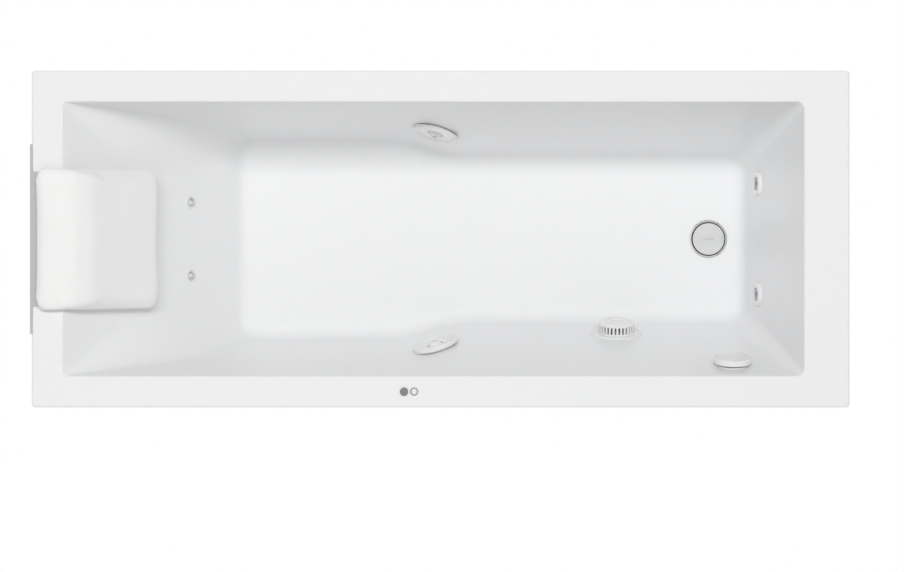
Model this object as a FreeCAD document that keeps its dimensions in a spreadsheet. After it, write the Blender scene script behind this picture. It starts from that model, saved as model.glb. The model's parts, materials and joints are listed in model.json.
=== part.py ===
import FreeCAD, Part
import math
import os
import Sketcher

# Jetted bathtub, millimetres. The origin is on the floor under the middle of the rim:
# +X towards the drain end, +Y towards the long side without controls, +Z up.

Vector = FreeCAD.Vector
Rotation = FreeCAD.Rotation
doc = FreeCAD.newDocument("jetted_bathtub")

DRIVING_SIZES = (
    # the shell
    ("bath_length", 1700), ("bath_width", 700), ("rim_height", 580), ("floor_height", 160),
    ("shell_wall", 5), ("backing_wall", 3), ("skirt_drop", 35), ("rim_corner", 8), ("rim_round", 3),
    ("rim_head", 64), ("rim_foot", 94), ("rim_side", 65), ("lip_round", 4),
    ("floor_from_head", 410), ("floor_from_foot", 178), ("floor_from_wide", 132), ("floor_from_narrow", 170),
    ("waist_start", -100), ("waist_end", 35), ("waist_top", 23), ("waist_join", 0.4),
    ("head_corner", 40), ("foot_corner", 36), ("floor_round", 34), ("shoulder_round", 150),
    # the carrying frame
    ("board_thick", 15), ("board_from_head", 450), ("board_from_foot", 220), ("board_from_side", 200),
    ("rail_side", 30), ("rail_wall", 2), ("rail_inset_head", 30), ("rail_inset_foot", 50),
    ("rail_inset_side", 35), ("pump_rail_inset", 310), ("board_rail_first", 520), ("board_rail_pitch", 410),
    ("foot_stud", 6), ("foot_pad", 25), ("foot_pad_high", 12), ("foot_inset", 70),
    ("foot_nut_high", 10), ("foot_nut_wide", 19), ("thread_gap", 0.4), ("fit_gap", 0.05), ("clear_gap", 0.4),
    # the drain
    ("drain_inset", 255), ("drain_hole", 27), ("drain_flange_r", 42), ("drain_throat", 23), ("drain_plug_r", 36),
    ("drain_cap_high", 5), ("drain_pipe", 26), ("seal_thick", 4), ("waste_deep", 72), ("waste_boss_off", 17),
    ("trap_r", 44), ("trap_deep", 132), ("trap_out_drop", 32), ("trap_pipe", 20), ("trap_bore", 18), ("trap_neck", 4), ("trap_reach", 143),
    # the overflow
    ("overflow_inset", 236), ("overflow_drop", 75), ("overflow_knob_r", 40), ("overflow_hole", 24),
    ("overflow_hose", 12), ("overflow_bore", 10), ("overflow_depth", 20), ("cable_r", 3),
    ("hose_bend", 30), ("hose_off_wall", 20), ("cable_off_hose", 22), ("cable_bend", 34),
    # the suction fitting
    ("suction_inset", 466), ("suction_up", 105), ("suction_hole", 30), ("suction_flange_r", 55),
    ("grille_r", 40), ("grille_high", 26), ("grille_wall", 3), ("suction_pipe_r", 25), ("suction_bore", 22),
    ("suction_depth", 78), ("suction_spigot", 55), ("port_out", 34), ("suction_level_run", 190), ("suction_bend", 62),
    # the jets
    ("side_jet_x", -10), ("side_jet_up", 168), ("side_jet_r", 50), ("side_jet_hole", 34), ("side_jet_deep", 94),
    ("foot_jet_y", 121), ("foot_jet_up", 110), ("foot_jet_r", 27), ("foot_jet_hole", 19), ("foot_jet_deep", 82),
    ("back_jet_y", 80), ("back_jet_inset", 305), ("back_jet_r", 14), ("back_jet_hole", 10), ("back_jet_deep", 44),
    # the pipes
    ("water_inset", 54), ("water_over_jet", 44), ("water_from_head", 115), ("water_from_foot", 110), ("water_r", 16),
    ("water_bore", 13), ("air_inset", 30), ("air_over_water", 28), ("air_from_foot", 80), ("air_r", 8),
    ("stub_long", 6), ("hose_r", 9), ("hose_spigot", 30),
    # the pump
    ("pump_inset", 170), ("pump_over_board", 108), ("volute_off_hose", 6), ("volute_r", 80), ("volute_wide", 60),
    ("motor_r", 60), ("motor_long", 190), ("fin_high", 8), ("fin_thick", 3), ("fin_count", 24),
    ("motor_wall", 5), ("rotor_r", 34), ("shaft_r", 7), ("air_gap", 1), ("impeller_r", 52),
    ("base_thick", 4), ("mount_high", 18), ("mount_r", 12), ("base_back_inset", 55), ("base_front", 170),
    ("fan_deep", 38), ("bearing_r", 17), ("bearing_wide", 11),
    # the control box and the deck controls
    ("box_long", 140), ("box_wide", 74), ("box_high", 150), ("box_side_inset", 138), ("box_end_inset", 55), ("lid_thick", 4),
    ("gland_r", 11), ("gland_bore", 4.5), ("knob_x", -76), ("button_x", -55), ("deck_inset", 33),
    ("knob_r", 8.5), ("knob_high", 6), ("collar_r", 8.8), ("button_r", 5.8), ("button_travel", 2.5),
    ("deck_hole", 7), ("deck_body_r", 9.4), ("deck_body_high", 42), ("tube_r", 2.5),
    # the headrest
    ("rest_half", 150), ("rest_inset", 11), ("rest_reach", 164), ("rest_thick", 44), ("rest_over_rim", 26),
    ("hanger_half", 197), ("hanger_thick", 2.4), ("hanger_gap", 1), ("hanger_drop", 44), ("hanger_reach", 60),
    ("hanger_tongue_half", 140), ("hanger_lip", 5),
)

sheet = doc.addObject("Spreadsheet::Sheet", "sizes")
for row, (alias, number) in enumerate(DRIVING_SIZES, start=1):
    sheet.set(f"A{row}", alias)
    sheet.set(f"B{row}", str(number))
    sheet.setAlias(f"B{row}", alias)
doc.recompute()


class Size:
    """A length that knows both its value and the sheet expression that gives it."""

    def __init__(self, value, text):
        self.value, self.text = float(value), text

    def joined(self, sign, other, swap=False):
        other = as_size(other)
        left, right = (other, self) if swap else (self, other)
        results = {"+": lambda: left.value + right.value, "-": lambda: left.value - right.value,
                   "*": lambda: left.value * right.value, "/": lambda: left.value / right.value}
        return Size(results[sign](), f"({left.text} {sign} {right.text})")

    def __add__(self, other): return self.joined("+", other)
    def __radd__(self, other): return self.joined("+", other, True)
    def __sub__(self, other): return self.joined("-", other)
    def __rsub__(self, other): return self.joined("-", other, True)
    def __mul__(self, other): return self.joined("*", other)
    def __rmul__(self, other): return self.joined("*", other, True)
    def __truediv__(self, other): return self.joined("/", other)
    def __neg__(self): return self.joined("-", 0, True)
    def __float__(self): return self.value


def as_size(number):
    return number if isinstance(number, Size) else Size(number, f"({float(number):.6f})")


class Sizes:
    """Every driving size of the sheet, by name."""

    def __getattr__(self, alias):
        return Size(sheet.get(alias), f"sizes.{alias}")


S = Sizes()
AXES = {"X": Vector(1, 0, 0), "Y": Vector(0, 1, 0), "Z": Vector(0, 0, 1)}
finished = []
seals = []


# ---- building blocks -------------------------------------------------------------------------

def bind(thing, prop, size):
    size = as_size(size)
    thing.setExpression(prop, size.text)


def place(thing, spot, turn=Rotation()):
    thing.Placement = FreeCAD.Placement(Vector(*[float(part) for part in spot]), turn)
    for letter, part in zip("xyz", spot):
        bind(thing, f"Placement.Base.{letter}", part)
    return thing


def block(name, low, size):
    box = doc.addObject("Part::Box", name)
    for prop, length in zip(("Length", "Width", "Height"), size):
        bind(box, prop, length)
    return place(box, low)


def rod(name, start, radius, length, direction=AXES["Z"]):
    cylinder = doc.addObject("Part::Cylinder", name)
    bind(cylinder, "Radius", radius)
    bind(cylinder, "Height", length)
    return place(cylinder, start, Rotation(AXES["Z"], direction))


def cut(name, base, *tools):
    tool = tools[0] if len(tools) == 1 else fuse(name + "_tools", *tools)
    result = doc.addObject("Part::Cut", name)
    result.Base, result.Tool = base, tool
    return result


def fuse(name, *pieces):
    result = doc.addObject("Part::MultiFuse", name)
    result.Shapes = list(pieces)
    return result


def group(name, *pieces):
    result = doc.addObject("Part::Compound", name)
    result.Links = list(pieces)
    return result


def pipe(name, start, outer, bore, length, direction=AXES["Z"]):
    return cut(name, rod(name + "_outside", start, outer, length, direction),
               rod(name + "_bore", start, bore, length, direction))


def square_tube(name, low, size, long_axis):
    wall = S.rail_wall
    inner_low = [part if axis == long_axis else part + wall for axis, part in zip("XYZ", low)]
    inner_size = [part if axis == long_axis else part - 2 * wall for axis, part in zip("XYZ", size)]
    return cut(name, block(name + "_outside", low, size), block(name + "_inside", inner_low, inner_size))


def origin_plane(body, role):
    return next(feature for feature in body.Origin.OriginFeatures if feature.Role == role)


def profile_sketch(body, name, points, plane="XZ_Plane"):
    """A closed polygon whose corners are held at their distances from the sketch's origin."""
    sketch = body.newObject("Sketcher::SketchObject", name)
    sketch.AttachmentSupport = [(origin_plane(body, plane), "")]
    sketch.MapMode = "FlatFace"
    corners = [Vector(float(across), float(up), 0) for across, up in points]
    for first, second in zip(corners, corners[1:] + corners[:1]):
        sketch.addGeometry(Part.LineSegment(first, second), False)
    count = len(corners)
    for line in range(count):
        sketch.addConstraint(Sketcher.Constraint("Coincident", line, 2, (line + 1) % count, 1))
    for line, (across, up) in enumerate(points):
        for kind, size, axis_line in (("DistanceX", across, -2), ("DistanceY", up, -1)):
            if abs(float(size)) < 1e-9:
                sketch.addConstraint(Sketcher.Constraint("PointOnObject", line, 1, axis_line))
            else:
                number = sketch.addConstraint(Sketcher.Constraint(kind, -1, 1, line, 1, float(size)))
                sketch.setExpression(f"Constraints[{number}]", as_size(size).text)
    return sketch


def turned(name, points, spot=(0, 0, 0), direction=AXES["Z"]):
    """A turned piece: its half section, as (radius, height), revolved about its own Z axis."""
    body = doc.addObject("PartDesign::Body", name)
    sketch = profile_sketch(body, name + "_section", points)
    revolution = body.newObject("PartDesign::Revolution", name + "_turn")
    revolution.Profile = sketch
    revolution.ReferenceAxis = (sketch, ["V_Axis"])
    revolution.Angle = 360.0
    sketch.Visibility = False
    return place(body, spot, Rotation(AXES["Z"], direction))


def repeat_round(body, feature, count):
    pattern = body.newObject("PartDesign::PolarPattern", feature.Name + "_ring")
    pattern.Originals = [feature]
    pattern.Axis = (next(f for f in body.Origin.OriginFeatures if f.Role == "Z_Axis"), [""])
    pattern.Angle = 360.0
    bind(pattern, "Occurrences", count)
    body.Tip = pattern
    return pattern


def shaped(name, shape, spot=(0, 0, 0)):
    feature = doc.addObject("Part::Feature", name)
    feature.Shape = shape
    return place(feature, spot)


def bent_path(points, radius):
    """Straight runs through the points, joined by tangent arcs of one radius."""
    points = [Vector(*[float(part) for part in point]) for point in points]
    edges, last = [], points[0]
    for before, corner, after in zip(points, points[1:], points[2:]):
        arriving = (corner - before).normalize()
        leaving = (after - corner).normalize()
        turn = arriving.getAngle(leaving)
        setback = radius * math.tan(turn / 2)
        start, end = corner - arriving * setback, corner + leaving * setback
        inward = (leaving - arriving).normalize()
        middle = corner + inward * (radius / math.cos(turn / 2) - radius)
        edges += [Part.LineSegment(last, start).toShape(), Part.Arc(start, middle, end).toShape()]
        last = end
    edges.append(Part.LineSegment(last, points[-1]).toShape())
    return Part.Wire(edges), (points[1] - points[0]).normalize(), points[0]


def bent_tube(points, bend, outer, bore=None):
    path, along, start = bent_path(points, float(bend))
    wall = None
    for radius in (outer, bore):
        if radius is None:
            continue
        ring = Part.Wire([Part.Circle(start, along, float(radius)).toShape()])
        swept = path.makePipeShell([ring], True, False)
        expected = math.pi * float(radius) ** 2 * path.Length
        print(f"tube r {float(radius):.1f} length {path.Length:.1f} volume ratio {swept.Volume / expected:.4f}")
        wall = swept if wall is None else wall.cut(swept)
    return wall


def keep(piece, label):
    piece.Label = label
    finished.append(piece)
    return piece


# ---- the shape of the well -------------------------------------------------------------------

HALF_LENGTH, HALF_WIDTH = S.bath_length / 2, S.bath_width / 2
FLOOR_Z = S.floor_height
DEPTH = S.rim_height - S.floor_height
FLOOR_HEAD = HALF_LENGTH - S.floor_from_head
FLOOR_FOOT = HALF_LENGTH - S.floor_from_foot
FLOOR_WIDE = HALF_WIDTH - S.floor_from_wide
FLOOR_NARROW = HALF_WIDTH - S.floor_from_narrow
RIM_UNDER = S.rim_height - S.shell_wall
WELL_HEAD = HALF_LENGTH - S.rim_head
WELL_FOOT = HALF_LENGTH - S.rim_foot
WELL_SIDE = HALF_WIDTH - S.rim_side
SKINS = S.shell_wall + S.backing_wall
UNDERSIDE_Z = FLOOR_Z - SKINS
HEAD_LEAN = (WELL_HEAD - FLOOR_HEAD) / DEPTH
FOOT_LEAN = (WELL_FOOT - FLOOR_FOOT) / DEPTH
WIDE_LEAN = (WELL_SIDE - FLOOR_WIDE) / DEPTH
NARROW_LEAN = (WELL_SIDE - FLOOR_NARROW - S.waist_join) / DEPTH
WAIST_RUN = S.waist_end - S.waist_start
WAIST_TURN = (FLOOR_NARROW - FLOOR_WIDE) / WAIST_RUN
BOARD_UNDER = UNDERSIDE_Z - S.board_thick
DRAIN_X = HALF_LENGTH - S.drain_inset
WATER_HEAD_X = S.water_from_head - HALF_LENGTH
WATER_FOOT_X = HALF_LENGTH - S.water_from_foot
WATER_Y = HALF_WIDTH - S.water_inset
WATER_Z = FLOOR_Z + S.side_jet_up + S.water_over_jet
AIR_FOOT_X = HALF_LENGTH - S.air_from_foot
AIR_Y = HALF_WIDTH - S.air_inset
AIR_Z = WATER_Z + S.air_over_water
PUMP_X = S.pump_inset - HALF_LENGTH
PUMP_Z = BOARD_UNDER + S.pump_over_board
VOLUTE_Y = -(S.back_jet_y + S.hose_r + S.volute_off_hose + S.volute_wide)
BOX_X = S.box_end_inset - HALF_LENGTH
BOX_Y = HALF_WIDTH - S.box_side_inset
DECK_Y = HALF_WIDTH - S.deck_inset
FOOT_BLOCK_START = -250
SIDE_JET_SEAT = S.side_jet_hole + 8
HEAD_BLOCK_END = 300


def wall_at(floor_half, lean, height, grow):
    """How far a leaning wall stands from the middle at a height, grown outwards square to itself."""
    lean = float(lean)
    return float(floor_half) + lean * (height - float(FLOOR_Z)) + grow * math.hypot(1, lean)


def waist_plane():
    """A point on the floor line of the +Y waist facet, and the facet's outward normal."""
    floor_point = Vector(float(S.waist_start), float(FLOOR_WIDE), float(FLOOR_Z))
    along = Vector(float(WAIST_RUN), float(FLOOR_NARROW - FLOOR_WIDE), 0)
    apex = Vector(float(S.waist_top), float(WELL_SIDE), float(S.rim_height))
    return floor_point, (apex - floor_point).cross(along).normalize()


def waist_line(height, grow):
    """The point (x, y) where the +Y waist facet crosses a height, above its floor corner."""
    floor_point, outward = waist_plane()
    rise = (height - float(FLOOR_Z)) / float(DEPTH)
    x = float(S.waist_start) + rise * float(S.waist_top - S.waist_start)
    flat_y = floor_point.y - (outward.x * (x - floor_point.x) + outward.z * (height - floor_point.z)) / outward.y
    return x, flat_y + grow / outward.y


def tapered_block(low_outline, high_outline, low_z, high_z):
    """A solid with plane walls between two outlines of equal corner count, anticlockwise from above."""
    low = [Vector(x, y, low_z) for x, y in low_outline]
    high = [Vector(x, y, high_z) for x, y in high_outline]
    faces = [Part.Face(Part.makePolygon([low[0]] + low[::-1])), Part.Face(Part.makePolygon(high + [high[0]]))]
    for corner in range(len(low)):
        following = (corner + 1) % len(low)
        ring = [low[corner], low[following], high[following], high[corner], low[corner]]
        faces.append(Part.Face(Part.makePolygon(ring)))
    return Part.makeSolid(Part.makeShell(faces))


def nearest_edges(shape, middles):
    def distance(edge, middle):
        return ((edge.Vertexes[0].Point + edge.Vertexes[-1].Point) * 0.5 - middle).Length
    return [min(shape.Edges, key=lambda edge: distance(edge, middle)) for middle in middles]


def round_floor(shape, low_z, radius, open_x):
    floor = min(shape.Faces, key=lambda face: abs(face.CenterOfMass.z - low_z))
    return shape.makeFillet(radius, [edge for edge in floor.Edges if abs(edge.CenterOfMass.x - open_x) > 1])


def head_outline(height, grow):
    head = -wall_at(FLOOR_HEAD, HEAD_LEAN, height, grow)
    wide = wall_at(FLOOR_WIDE, WIDE_LEAN, height, grow)
    x, y = waist_line(height, grow)
    turn = float(WAIST_TURN)
    shoulder = x + (wide - y) / turn
    end_y = y + turn * (HEAD_BLOCK_END - x)
    return [(head, -wide), (shoulder, -wide), (HEAD_BLOCK_END, -end_y), (HEAD_BLOCK_END, end_y),
            (shoulder, wide), (head, wide)]


def foot_outline(height, grow):
    foot = wall_at(FLOOR_FOOT, FOOT_LEAN, height, grow)
    narrow = wall_at(FLOOR_NARROW, NARROW_LEAN, height, grow)
    return [(FOOT_BLOCK_START, -narrow), (foot, -narrow), (foot, narrow), (FOOT_BLOCK_START, narrow)]


def well_block(grow, top_z):
    """The well as a solid, grown outwards: the wide head end and the narrow foot end run together."""
    low_z, middle_z = float(FLOOR_Z) - grow, (float(FLOOR_Z) - grow + top_z) / 2
    ends = []
    for outline, corner, open_x in ((head_outline, float(S.head_corner), HEAD_BLOCK_END),
                                    (foot_outline, float(S.foot_corner), FOOT_BLOCK_START)):
        solid = tapered_block(outline(low_z, grow), outline(top_z, grow), low_z, top_z)
        middles = [Vector((low[0] + high[0]) / 2, (low[1] + high[1]) / 2, middle_z)
                   for low, high in zip(outline(low_z, grow), outline(top_z, grow)) if low[0] != open_x]
        far_x = max(abs(middle.x) for middle in middles)
        corners = [middle for middle in middles if abs(middle.x) == far_x]
        shoulders = [middle for middle in middles if abs(middle.x) != far_x]
        solid = solid.makeFillet(corner + grow, nearest_edges(solid, corners))
        if shoulders:
            solid = solid.makeFillet(float(S.shoulder_round) + grow, nearest_edges(solid, shoulders))
        ends.append(round_floor(solid, low_z, float(S.floor_round) + grow, open_x))
    return ends[0].fuse(ends[1])


# ---- places and directions of the fittings on the walls ---------------------------------------

def wall_point(kind):
    """The point where a fitting's axis meets the inner face of its wall, and the outward direction."""
    if kind == "suction" or kind == "overflow":
        x, z = {"suction": (HALF_LENGTH - S.suction_inset, FLOOR_Z + S.suction_up),
                "overflow": (HALF_LENGTH - S.overflow_inset, S.rim_height - S.overflow_drop)}[kind]
        lean = float(NARROW_LEAN)
        y = -wall_at(FLOOR_NARROW, lean, float(z), 0)
        return Vector(float(x), y, float(z)), Vector(0, -1, -lean).normalize()
    if kind == "side_jet":
        floor_point, outward = waist_plane()
        x, z = float(S.side_jet_x), float(FLOOR_Z + S.side_jet_up)
        y = floor_point.y - (outward.x * (x - floor_point.x) + outward.z * (z - floor_point.z)) / outward.y
        return Vector(x, y, z), outward
    if kind == "foot_jet":
        z, lean = float(FLOOR_Z + S.foot_jet_up), float(FOOT_LEAN)
        return Vector(wall_at(FLOOR_FOOT, lean, z, 0), float(S.foot_jet_y), z), Vector(1, 0, -lean).normalize()
    lean, x = float(HEAD_LEAN), float(HALF_LENGTH - S.back_jet_inset)
    z = float(FLOOR_Z) + (x - float(FLOOR_HEAD)) / lean
    return Vector(-x, float(S.back_jet_y), z), Vector(-1, 0, -lean).normalize()


def mirrored(vector):
    return Vector(vector.x, -vector.y, vector.z)


def both_sides(kind):
    """(side name, point, outward direction) of a fitting that stands on both long sides."""
    point, outward = wall_point(kind)
    return (("back", point, outward), ("front", mirrored(point), mirrored(outward)))


def shifted(point, direction, distance):
    return point + direction * float(distance)


# ---- the shell -------------------------------------------------------------------------------

def tub_shell():
    tray = Part.makeBox(float(S.bath_length), float(S.bath_width), float(S.skirt_drop),
                        Vector(-float(HALF_LENGTH), -float(HALF_WIDTH), float(S.rim_height - S.skirt_drop)))
    tray = tray.makeFillet(float(S.rim_corner), [edge for edge in tray.Edges if edge.tangentAt(0).z ** 2 > 0.5])
    top = max(tray.Faces, key=lambda face: face.CenterOfMass.z)
    tray = tray.makeFillet(float(S.rim_round), top.Edges)
    wall = float(S.shell_wall)
    hollow = Part.makeBox(float(S.bath_length) - 2 * wall, float(S.bath_width) - 2 * wall, float(S.skirt_drop) - wall,
                          Vector(wall - float(HALF_LENGTH), wall - float(HALF_WIDTH),
                                 float(S.rim_height - S.skirt_drop)))
    rim_top = float(S.rim_height)
    shell = tray.cut(hollow).fuse(well_block(wall, float(RIM_UNDER + S.shell_wall / 2)))
    shell = shell.cut(well_block(0.0, rim_top)).removeSplitter()
    lip = [edge for edge in shell.Edges if abs(edge.BoundBox.ZMin - rim_top) < 0.01
           and abs(edge.BoundBox.ZMax - rim_top) < 0.01 and edge.BoundBox.XMax < float(HALF_LENGTH) - 20
           and edge.BoundBox.XMin > 20 - float(HALF_LENGTH) and abs(edge.CenterOfMass.y) < float(HALF_WIDTH) - 20]
    shell = shell.makeFillet(float(S.lip_round), lip)
    shell = shell.cut(fitting_holes(wall * 3))
    for _, point, outward in both_sides("side_jet"):
        shell = shell.cut(Part.makeCylinder(float(SIDE_JET_SEAT) + 0.5, wall, point, outward * -1))
    return keep(shaped("tub_shell", shell), "tub_shell")


def fitting_holes(reach):
    """Holes through the shell for the drain, the overflow, the suction, the jets and the deck controls."""
    holes = [Part.makeCylinder(float(S.drain_hole), 2 * reach, Vector(float(DRAIN_X), 0, float(FLOOR_Z) - reach))]
    for deck_x in (S.knob_x, S.button_x):
        spot = Vector(float(deck_x), -float(DECK_Y), float(S.rim_height) - reach)
        holes.append(Part.makeCylinder(float(S.deck_hole), 2 * reach, spot))
    for kind, radius in (("suction", S.suction_hole), ("overflow", S.overflow_hole)):
        point, outward = wall_point(kind)
        holes.append(Part.makeCylinder(float(radius), 2 * reach, shifted(point, outward, -reach), outward))
    for kind, radius in (("side_jet", S.side_jet_hole), ("foot_jet", S.foot_jet_hole), ("back_jet", S.back_jet_hole)):
        for _, point, outward in both_sides(kind):
            holes.append(Part.makeCylinder(float(radius), 2 * reach, shifted(point, outward, -reach), outward))
    return Part.makeCompound(holes)


def glassfibre_backing():
    wall, rim_under = float(S.shell_wall), float(RIM_UNDER)
    skin = well_block(float(SKINS), rim_under).cut(well_block(wall, rim_under))
    return keep(shaped("glassfibre_backing", skin.cut(fitting_holes(float(SKINS) * 3))), "glassfibre_backing")


# ---- the carrying frame ------------------------------------------------------------------------

RAIL_UNDER = BOARD_UNDER - S.rail_side
HEAD_RAIL_X = S.rail_inset_head - HALF_LENGTH
FOOT_RAIL_X = HALF_LENGTH - S.rail_inset_foot
PUMP_RAIL_X = S.pump_rail_inset - HALF_LENGTH
SIDE_RAIL_Y = HALF_WIDTH - S.rail_inset_side
HALF_RAIL = S.rail_side / 2


def base_board():
    drain_notch = rod("board_drain_notch", (DRAIN_X, 0, BOARD_UNDER), S.drain_flange_r + 8, S.board_thick)
    board = block("board_blank", (S.board_from_head - HALF_LENGTH, S.board_from_side - HALF_WIDTH, BOARD_UNDER),
                  (2 * HALF_LENGTH - S.board_from_head - S.board_from_foot, 2 * (HALF_WIDTH - S.board_from_side),
                   S.board_thick))
    return keep(cut("base_board", board, drain_notch), "base_board")


def side_rails():
    length = FOOT_RAIL_X - HEAD_RAIL_X - S.rail_side
    rails = [square_tube(f"side_rail_{name}", (HEAD_RAIL_X + HALF_RAIL, side * SIDE_RAIL_Y - HALF_RAIL, RAIL_UNDER),
                         (length, S.rail_side, S.rail_side), "X") for name, side in (("front", -1), ("back", 1))]
    return rails


def cross_rails():
    rails = []
    for name, x in (("head", HEAD_RAIL_X), ("foot", FOOT_RAIL_X)):
        half = SIDE_RAIL_Y + HALF_RAIL
        rail = square_tube(f"cross_rail_{name}", (x - HALF_RAIL, -half, RAIL_UNDER),
                           (S.rail_side, 2 * half, S.rail_side), "Y")
        studs = [rod(f"cross_rail_{name}_hole_{side}", (x, side * FOOT_Y, RAIL_UNDER - 1), S.foot_stud + S.thread_gap,
                     S.rail_wall + 2) for side in (-1, 1)]
        rails.append(cut(f"cross_rail_{name}_drilled", rail, *studs))
    half = SIDE_RAIL_Y - HALF_RAIL
    inner = [PUMP_RAIL_X] + [S.board_rail_first - HALF_LENGTH + step * S.board_rail_pitch for step in range(3)]
    for number, x in enumerate(inner):
        rails.append(square_tube(f"cross_rail_{number}", (x - HALF_RAIL, -half, RAIL_UNDER),
                                 (S.rail_side, 2 * half, S.rail_side), "Y"))
    return rails


def uprights():
    posts = []
    for name, x in (("head", HEAD_RAIL_X), ("foot", FOOT_RAIL_X)):
        for side in (-1, 1):
            low = (x - HALF_RAIL, side * SIDE_RAIL_Y - HALF_RAIL, BOARD_UNDER)
            size = (S.rail_side, S.rail_side, RIM_UNDER - BOARD_UNDER)
            posts.append(square_tube(f"upright_{name}_{side}", low, size, "Z"))
    return keep(group("frame_uprights", *posts), "frame_uprights")


FOOT_Y = SIDE_RAIL_Y - S.foot_inset


def levelling_feet():
    """Threaded feet: each is one turned piece, pad and stud, screwed into a nut under the end rails."""
    stud_top = RAIL_UNDER + S.rail_side / 2
    for name, x in (("head", HEAD_RAIL_X), ("foot", FOOT_RAIL_X)):
        for side_name, side in (("front", -1), ("back", 1)):
            section = [(0, 0), (S.foot_pad, 0), (S.foot_pad, S.foot_pad_high / 3),
                       (S.foot_stud * 2, S.foot_pad_high), (S.foot_stud, S.foot_pad_high + 2),
                       (S.foot_stud, stud_top), (0, stud_top)]
            label = f"levelling_foot_{name}_{side_name}"
            keep(turned(label, section, (x, side * FOOT_Y, 0)), label)
    nuts = []
    for name, x in (("head", HEAD_RAIL_X), ("foot", FOOT_RAIL_X)):
        for side in (-1, 1):
            prism = doc.addObject("Part::Prism", f"foot_nut_blank_{name}_{side}")
            prism.Polygon = 6
            bind(prism, "Circumradius", S.foot_nut_wide / math.sqrt(3))
            bind(prism, "Height", S.foot_nut_high)
            place(prism, (x, side * FOOT_Y, RAIL_UNDER - S.foot_nut_high))
            hole = rod(f"foot_nut_hole_{name}_{side}", (x, side * FOOT_Y, RAIL_UNDER - S.foot_nut_high - 1),
                       S.foot_stud + S.thread_gap, S.foot_nut_high + 2)
            nuts.append(cut(f"foot_nut_{name}_{side}", prism, hole))
    keep(group("frame_rails", *side_rails(), *cross_rails(), *nuts), "frame_rails")


# ---- the drain -----------------------------------------------------------------------------------

def drain():
    spot = (DRAIN_X, 0, FLOOR_Z)
    flange_thick, neck = 2.5, S.drain_pipe
    neck_low = S.waste_deep - 12
    seat = S.drain_throat + 4
    stem_low = 20 - neck_low
    throat = turned("drain_throat", [
        (S.drain_throat, -neck_low), (neck, -neck_low), (neck, 0), (S.drain_flange_r, 0),
        (S.drain_flange_r, flange_thick / 2), (S.drain_flange_r - 3, flange_thick),
        (seat + 4, flange_thick), (seat, 0.5), (S.drain_throat, 0.5)], spot)
    cross_z = FLOOR_Z + stem_low - 8
    arms = [block(f"plug_guide_arm_{number}", low, size) for number, (low, size) in enumerate((
        ((DRAIN_X - S.drain_throat - 1, -1.5, cross_z), (2 * S.drain_throat + 2, 3, 4)),
        ((DRAIN_X - 1.5, -S.drain_throat - 1, cross_z), (3, 2 * S.drain_throat + 2, 4))))]
    keep(fuse("drain_flange", throat, *arms), "drain_flange")
    seal_low = -SKINS - S.seal_thick
    seals.append(turned("waste_seal", [
        (neck + 0.2, seal_low), (S.drain_flange_r - 2, seal_low), (S.drain_flange_r - 2, -SKINS),
        (neck + 0.2, -SKINS)], spot))
    body_low, body_top = -S.waste_deep, seal_low
    tube_out, tube_in = neck + 5, neck + 0.2
    waste = turned("waste_blank", [
        (tube_in, body_low), (tube_out, body_low), (tube_out, body_top - 6), (S.drain_flange_r, body_top - 5),
        (S.drain_flange_r, body_top), (tube_in, body_top)], spot)
    inlet_z = HOSE_LOW_Z
    spigot = rod("waste_spigot_outside", (DRAIN_X, -tube_out + 1, inlet_z), S.overflow_hose, SPIGOT_OUT, -AXES["Y"])
    spigot_bore = rod("waste_spigot_bore", (DRAIN_X, -tube_in + 1, inlet_z), S.overflow_bore - 2,
                      SPIGOT_OUT + 8, -AXES["Y"])
    boss = rod("waste_cable_boss", (DRAIN_X - S.waste_boss_off, -tube_out - BOSS_OUT, inlet_z), BOSS_R,
               tube_out + BOSS_OUT, AXES["Y"])
    bore = rod("waste_bore", (DRAIN_X, 0, FLOOR_Z + body_low), tube_in, body_top - body_low)
    keep(cut("waste_body", fuse("waste_with_spigot", waste, spigot, boss), spigot_bore, bore), "waste_body")
    trap_top = -S.waste_deep
    trap_low = -S.trap_deep
    wall = 3
    pot = turned("trap_pot", [
        (0, trap_low), (S.trap_r - 8, trap_low), (S.trap_r, trap_low + 8), (S.trap_r, trap_top - 10),
        (tube_out, trap_top), (tube_in, trap_top), (tube_in, trap_top - 4), (S.trap_r - wall, trap_top - 12),
        (S.trap_r - wall, trap_low + 9), (S.trap_r - 9, trap_low + wall), (0, trap_low + wall)], spot)
    outlet_z = TRAP_OUT_Z
    neck = rod("trap_neck", (DRAIN_X, S.trap_r - wall, outlet_z), S.trap_pipe - 0.5, wall + S.trap_neck + 1, AXES["Y"])
    outlet = rod("trap_outlet", (DRAIN_X, S.trap_r + S.trap_neck, outlet_z), S.trap_pipe, S.trap_reach, AXES["Y"])
    bore = rod("trap_bore", (DRAIN_X, S.trap_r - 4 * wall, outlet_z), S.trap_bore, S.trap_reach + 7 * wall,
               AXES["Y"])
    keep(cut("waste_trap", fuse("trap_with_outlet", pot, neck, outlet), bore), "waste_trap")
    cap_low = flange_thick + 1.5
    keep(turned("drain_plug", [
        (0, stem_low), (4, stem_low), (4, -6), (S.drain_throat - 1, 0), (S.drain_throat - 1, cap_low),
        (S.drain_plug_r - 1, cap_low), (S.drain_plug_r, cap_low + 1), (S.drain_plug_r - 1, cap_low + 3),
        (S.drain_plug_r * 0.6, cap_low + S.drain_cap_high - 0.6), (0, cap_low + S.drain_cap_high)], spot),
        "drain_plug")


SPIGOT_OUT = 24
BOSS_OUT, BOSS_R = 3, 5
HOSE_LOW_Z = RAIL_UNDER + 12
TRAP_OUT_Z = FLOOR_Z - S.waste_deep - S.trap_out_drop


# ---- the overflow ----------------------------------------------------------------------------------

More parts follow.
